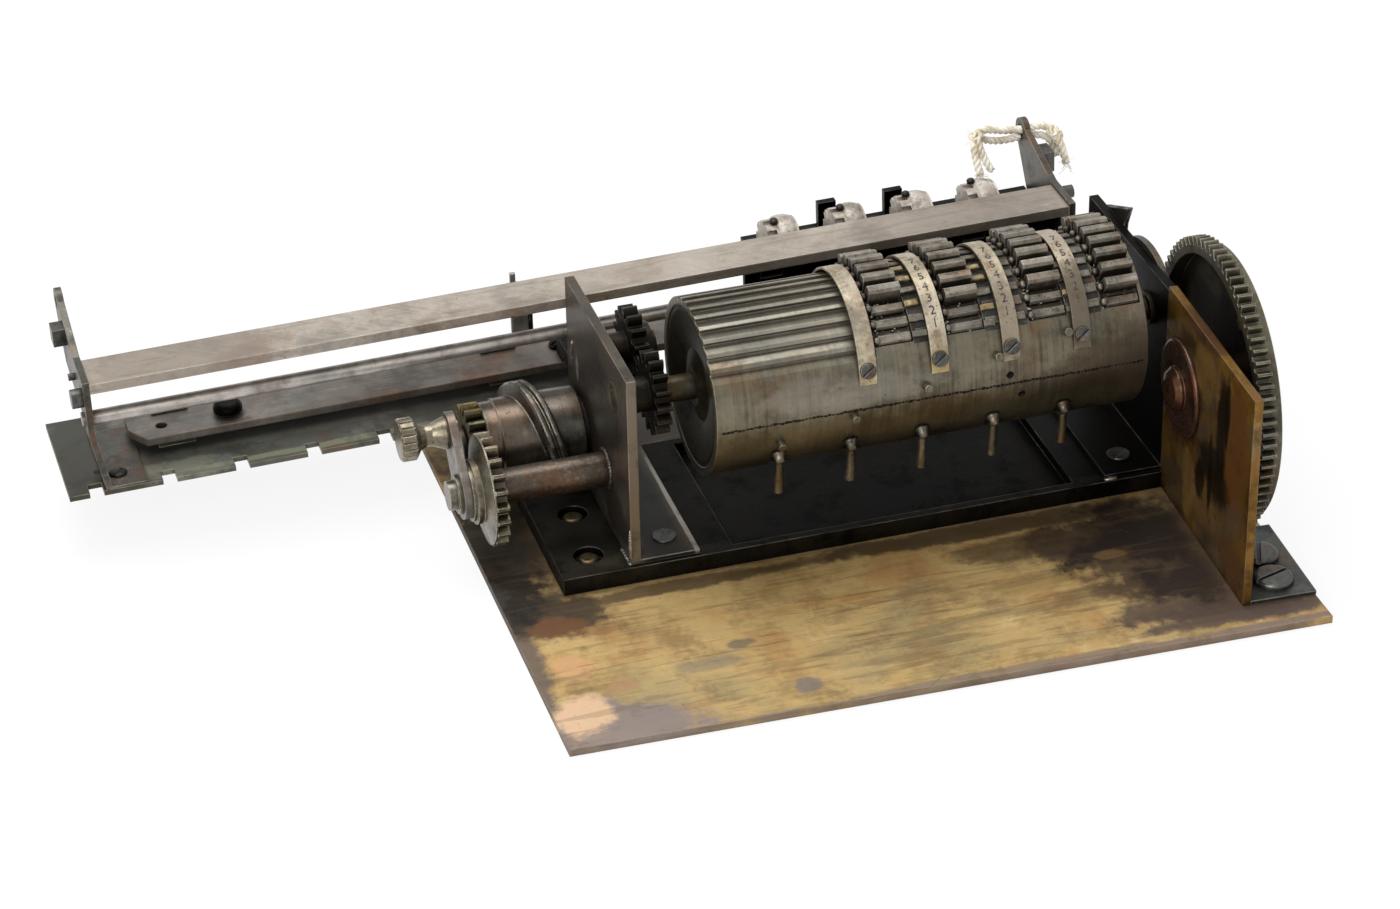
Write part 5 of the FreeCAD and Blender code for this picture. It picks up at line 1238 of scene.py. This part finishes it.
@dataclass
class DrumPart:
    """Drum, its teeth, strips, pins and gears."""

    palette: Palette
    strip_arch: float = 0.0018
    strip_start: float = 48.0
    strip_end: float = 167.0
    strip_thickness: float = 0.0005
    digit_height: float = 0.0021
    finishes: dict[str, str] = field(default_factory=lambda: {
        "drum_shell": "drum_steel", "digit_strips": "strip_metal", "strip_screws": "screw_steel",
        "drum_ends": "drum_end_steel", "drum_shaft": "gear_dark", "drum_collars": "dark_brass",
        "drum_gear": "gear_dark", "carry_pins": "drum_steel", "idler_gear": "gear_dark",
    })

    def strip_point(self, degrees: float, x: float, lift: float) -> tuple[Vector, Vector]:
        """Point on a strip's outer face.

        Args:
            degrees: Angle round the strip's own centre.
            x: Place along the drum.
            lift: Height above the face.

        Returns:
            The point and the outward direction.
        """
        spread = math.radians(self.strip_end - self.strip_start) / 2
        middle = math.radians((self.strip_start + self.strip_end) / 2)
        offset = self.strip_arch / (1 - math.cos(spread))
        radius = DRUM_RADIUS + self.strip_arch - offset + self.strip_thickness + lift
        a = math.radians(degrees)
        out = Vector((0, math.cos(a), math.sin(a)))
        centre = Vector((x, offset * math.cos(middle), AXIS_Z + offset * math.sin(middle)))
        return centre + out * radius, out

    def digits(self) -> None:
        """Stamp the digits on three of the strips."""
        maker = Maker(self.palette)
        work = bmesh.new()
        angles = (142.7, 133.6, 124.4, 115.2, 106.0, 96.8, 87.6)
        for strip in (1, 2, 3):
            x = DRUM_LEFT + STRIP_FIRST + strip * STEP
            for digit, degrees in enumerate(angles, start=1):
                self.stamp(work, str(digit), x, degrees)
        mesh = settled(work, "strip_digits", outward=False)
        maker.piece("strip_digits", mesh, "digit_black", "drum", smooth=False)

    def stamp(self, work: bmesh.types.BMesh, text: str, x: float, degrees: float) -> None:
        """Add one digit, bent to its strip.

        Args:
            work: The mesh being made.
            text: The digit.
            x: Middle of the strip.
            degrees: Angle of the digit.
        """
        curve = bpy.data.curves.new("digit", "FONT")
        curve.body = text
        curve.size = self.digit_height * 1.35
        curve.align_x = "CENTER"
        curve.align_y = "CENTER"
        curve.resolution_u = 4
        holder = bpy.data.objects.new("digit", curve)
        bpy.context.scene.collection.objects.link(holder)
        bpy.context.view_layer.update()
        flat = bpy.data.meshes.new_from_object(holder)
        made = []
        for vertex in flat.vertices:
            turn = math.degrees(vertex.co.y / 0.018)
            place, _ = self.strip_point(degrees - turn, x + vertex.co.x, 0.00006)
            made.append(work.verts.new(place))
        for polygon in flat.polygons:
            work.faces.new([made[i] for i in polygon.vertices])
        bpy.data.objects.remove(holder)
        bpy.data.curves.remove(curve)
        bpy.data.meshes.remove(flat)

    def tooth_posts(self) -> None:
        """Stand a round post at the left end of each tooth."""
        maker = Maker(self.palette)
        rng = random.Random(11)
        profile = [(0, 0), (0.00074, 0), (0.00076, 0.0019), (0.00058, 0.0023), (0, 0.0024)]
        for group, start in enumerate(TOOTH_STARTS):
            posts = []
            for row in range(9):
                degrees = TOOTH_FIRST + 10 * row + rng.uniform(-0.6, 0.6)
                foot = around(degrees, 0.0181 + rng.uniform(-0.0003, 0.0002), DRUM_LEFT + start - 0.0006)
                out = around(degrees, 1.0, 0) - around(degrees, 0.0, 0)
                posts.append(facing(foot, out, Vector((1, 0, 0))))
            mesh = maker.lathe("tooth_posts_%d" % (group + 1), profile, posts, 12)
            maker.piece("tooth_posts_%d" % (group + 1), mesh, "rib_steel", "drum")

    def lift(self, degrees: float) -> float:
        """Height that is free below the arched strips at an angle."""
        middle = (self.strip_start + self.strip_end) / 2
        share = (degrees - middle) / ((self.strip_end - self.strip_start) / 2)
        return min(0.0006, self.strip_arch * (1 - share * share) - 0.00025)

    def ribs(self) -> None:
        """Lay the slides in the slots between the tooth groups, a dark sheet under them as painted shade of
        the slots, and dirt crumbs.
        """
        maker = Maker(self.palette)
        rng = random.Random(21)
        flat, bright = [], []
        ends = [DRUM_LEFT + start + 0.0076 for start in TOOTH_STARTS[:3]]
        starts = [DRUM_LEFT + start - 0.0014 for start in TOOTH_STARTS[1:]]
        for left, right in zip(ends, starts):
            for row in range(9):
                degrees = TOOTH_FIRST + 10 * row
                top = DRUM_RADIUS + self.lift(degrees)
                x0, x1 = left + rng.uniform(0, 0.0007), right - rng.uniform(0, 0.0005)
                flat.append((x0, x1, degrees - 0.6, 0.0188, top, rng.uniform(0.0016, 0.0020)))
                if row > 2:
                    reach = rng.uniform(0.0018, 0.0031)
                    lean = degrees + rng.uniform(0, 1.2)
                    width = rng.uniform(0.0011, 0.0015)
                    ledge = (left - 0.0004, left + reach, lean, 0.0186, top + 0.00055, width)
                    (bright if rng.random() < 0.42 else flat).append(ledge)
        for name, rows, seed, finish in (("slot_slides", flat, 31, "rib_steel"),
                                         ("slot_slides_bright", bright, 32, "rib_brass")):
            maker.piece(name, maker.bars(name, rows, seed), finish, "drum", False)
        self.sheet(list(zip(ends, starts)))
        self.grit()

    def sheet(self, gaps: list[tuple[float, float]]) -> None:
        """Lay a dark sheet on the drum between the slides, as painted shade in the slots.

        Args:
            gaps: Left and right end of each stretch between tooth groups.
        """
        work = bmesh.new()
        for left, right in gaps:
            rows = [(work.verts.new(around(a, 0.01911, left)), work.verts.new(around(a, 0.01911, right)))
                    for a in range(55, 147)]
            for low, high in zip(rows, rows[1:]):
                work.faces.new((low[0], low[1], high[1], high[0]))
        # Dark sheet that paints the shade in the slots.
        mesh = settled(work, "slot_shade_sheet")
        Maker(self.palette).piece("slot_shade_sheet", mesh, "soot_and_shade", "drum")

    def grit(self) -> None:
        """Scatter crumbs of pale and dark dirt among the posts and slides."""
        maker = Maker(self.palette)
        rng = random.Random(77)
        pale, dark = [], []
        for start in TOOTH_STARTS:
            for _ in range(190):
                x = DRUM_LEFT + start + rng.uniform(-0.0014, 0.0001)
                if rng.random() < 0.45:
                    x = DRUM_LEFT + start + rng.uniform(-0.0044, 0.0075)
                degrees = TOOTH_FIRST + 5 + 10 * rng.randrange(-1, 9) + rng.uniform(-2.4, 2.4)
                size = rng.uniform(0.00010, 0.00028)
                half = Vector((size * rng.uniform(0.8, 2.0), size, size))
                (pale if rng.random() < 0.35 else dark).append((around(degrees, 0.0188, x), half))
        mesh = maker.blobs("pale_grit", pale, 4, 1)
        maker.piece("pale_grit", mesh, "verdigris", "drum")
        mesh = maker.blobs("dark_grit", dark, 5, 1)
        maker.piece("dark_grit", mesh, "soot_and_shade", "drum")

    def seam(self) -> None:
        """Run the rough solder seam along the drum and mark its two small holes."""
        maker = Maker(self.palette)
        rng = random.Random(5)
        spots = []
        for i in range(110):
            x = DRUM_LEFT + 0.0015 + i * 0.00085
            place = around(-176.5 + rng.uniform(-0.35, 0.35), DRUM_RADIUS, x)
            size = rng.uniform(0.00022, 0.00042)
            spots.append((place, Vector((size * 1.5, size * 0.5, size * 0.8))))
        mesh = maker.blobs("drum_seam", spots, 7)
        maker.piece("drum_seam", mesh, "gear_dark", "drum")
        # The two small holes are dark discs with rims: painted shade inside each hole.
        rings = []
        for x, degrees in ((0.0166, 177.0), (0.0195, -167.0)):
            point = around(degrees, DRUM_RADIUS - 0.0001, x)
            out = point - around(degrees, 0.0, x)
            rings.append(facing(point, out, Vector((1, 0, 0))))
        profile = [(0, 0.00012), (0.0005, 0.00012), (0.0006, 0.00022), (0.0008, 0.0002), (0.0009, 0.0)]
        mesh = maker.lathe("drum_holes", profile, rings, 16)
        maker.piece("drum_holes", mesh, "gear_dark", "drum")

    def pin_roots(self) -> None:
        """Raise a cone of solder at the root of each setting pin."""
        maker = Maker(self.palette)
        profile = [(0, -0.0002), (0.0017, -0.0001), (0.0014, 0.0004), (0.00108, 0.0012), (0.00092, 0.0022),
                   (0, 0.0023)]
        for index in range(5):
            name = "setting_ring_%d" % (index + 1)
            self.palette.dress(name, "pin_metal")
            x = RING_FIRST + STEP * index
            point = around(PIN_ANGLE, DRUM_RADIUS + 0.0001, x)
            out = point - around(PIN_ANGLE, 0.0, x) + Vector((0, 0, -0.006))
            spots = [facing(point, out, Vector((1, 0, 0)))]
            mesh = maker.lathe("pin_root_%d" % (index + 1), profile, spots, 16)
            maker.piece("pin_root_%d" % (index + 1), mesh, "pin_metal", "ring_%d" % (index + 1))

    def build(self) -> None:
        """Dress the drum and add its rods, digits and seam."""
        for node, finish in self.finishes.items():
            self.palette.dress(node, finish)
        for index in range(1, 5):
            self.palette.dress("fixed_teeth_%d" % index, "tooth_steel")
            self.palette.dress("moving_tooth_%d" % index, "tooth_steel")
        self.pin_roots()
        self.digits()
        self.tooth_posts()
        self.ribs()
        self.seam()


@dataclass
class CrankPart:
    """Crank, its gear and knob, and the shifting hub."""

    palette: Palette
    finishes: dict[str, str] = field(default_factory=lambda: {
        "crank_spindle": "crank_metal", "crank_gear": "crank_metal", "crank_arm": "arm_steel",
        "crank_knob": "crank_metal", "shift_hub": "hub_steel", "hub_pinion": "pinion_brass",
        "big_gear": "wheel_steel",
    })

    def build(self) -> None:
        """Dress the crank, the hub and the big gear."""
        for node, finish in self.finishes.items():
            self.palette.dress(node, finish)


@dataclass
class CarriagePart:
    """Sliding carriage with its bars, brackets and number wheels."""

    palette: Palette
    finishes: dict[str, str] = field(default_factory=lambda: {
        "notched_plate": "notched_steel", "left_bracket": "bracket_steel", "right_bracket": "bracket_steel",
        "top_bar": "bar_steel", "carriage_rod": "rod_steel", "wheel_shaft": "gear_dark",
        "rear_bar": "blued_steel", "carriage_nuts": "screw_steel", "lever_wire": "rod_steel",
    })

    def wheel_crowns(self) -> None:
        """Round off each number wheel with a pale worn crown and a small dark screw."""
        maker = Maker(self.palette)
        crown = [(0.00595, -0.0012), (0.0063, -0.0009), (0.00655, -0.0002), (0.00662, 0.0009),
                 (0.0065, 0.0020),
                 (0.00615, 0.0030), (0.0055, 0.00372), (0.0018, 0.0038)]
        head = [(0, 0), (0.0009, 0), (0.0009, 0.0007), (0.0006, 0.0010), (0, 0.0010)]
        along = Vector((0.9998, 0, 0.0199))
        for index in range(1, 5):
            low, high = (Vector(corner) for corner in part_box("number_wheel_%d" % index))
            middle = (low + high) / 2
            body = "wheel_%d" % index
            spots = [facing(middle, along, Vector((0, 1, 0)))]
            mesh = maker.lathe("wheel_crown_%d" % index, crown, spots, 40)
            maker.piece("wheel_crown_%d" % index, mesh, "pale_alloy", body)
            out = Vector((-0.1, -0.25 + 0.12 * index, 1.0)).normalized()
            top = middle + Vector((-0.0010, 0, 0)) + out * 0.0062
            mesh = maker.lathe("wheel_screw_%d" % index, head, [facing(top, out, along)], 14)
            maker.piece("wheel_screw_%d" % index, mesh, "edge_steel", body)

    def foot_screw(self) -> None:
        """Put the flat slotted screw on the left bracket's foot."""
        maker = Maker(self.palette)
        place = facing(Vector((-0.16345, 0.0441, 0.01628)), Vector((-0.0199, 0, 0.9998)), Vector((1, 0, 0)))
        head = [(0, 0), (0.0020, 0), (0.0020, 0.00022), (0.0017, 0.00042), (0, 0.00048)]
        maker.piece("foot_screw", maker.lathe("foot_screw", head, [place], 24), "gear_dark", "carriage")
        # The slot is a dark tube laid on the head, painted shade of the slot's recess.
        slot = [place @ Vector((-0.0011, -0.0013, 0.00042)), place @ Vector((0.0011, 0.0013, 0.00042))]
        maker.piece("foot_screw_slot", maker.tubes("foot_screw_slot", [slot], 0.00016, 6), "soot_and_shade", "carriage")

    def lever_foot(self) -> None:
        """Widen the upright lever's lower end and stand its small dark stop beside it."""
        maker = Maker(self.palette)
        work = bmesh.new()
        bmesh.ops.create_cube(work, size=1.0)
        for vertex in work.verts:
            x, y, z = vertex.co
            vertex.co = (-0.0697 + x * 0.0040, 0.0585 + y * 0.0010, 0.0284 + z * 0.0048 - x * 0.0004)
        bmesh.ops.bevel(work, geom=list(work.edges), offset=0.0002, segments=2, affect="EDGES")
        mesh = settled(work, "lever_foot", outward=False)
        maker.piece("lever_foot", mesh, "rod_steel", "carriage", smooth=False)
        stop = [Vector((-0.0673, 0.0585, z)) for z in (0.0258, 0.0306)]
        mesh = maker.tubes("lever_stop", [stop], 0.0006, 12)
        maker.piece("lever_stop", mesh, "gear_dark", "carriage")

    def build(self) -> None:
        """Dress the carriage and add its small parts."""
        for node, finish in self.finishes.items():
            self.palette.dress(node, finish)
        for index in range(1, 5):
            self.palette.dress("number_wheel_%d" % index, "pale_alloy")
        self.wheel_crowns()
        self.foot_screw()
        self.lever_foot()


def main() -> None:
    """Build the studio and every sub-assembly in order."""
    logging.basicConfig(level=logging.INFO, format="%(message)s")
    Studio().build()
    palette = Palette()
    for part in (TwistedString, FramePart, DrumPart, CrankPart, CarriagePart):
        part(palette).build()
        LOG.info("built %s", part.__name__)


if __name__ == "__main__":
    main()
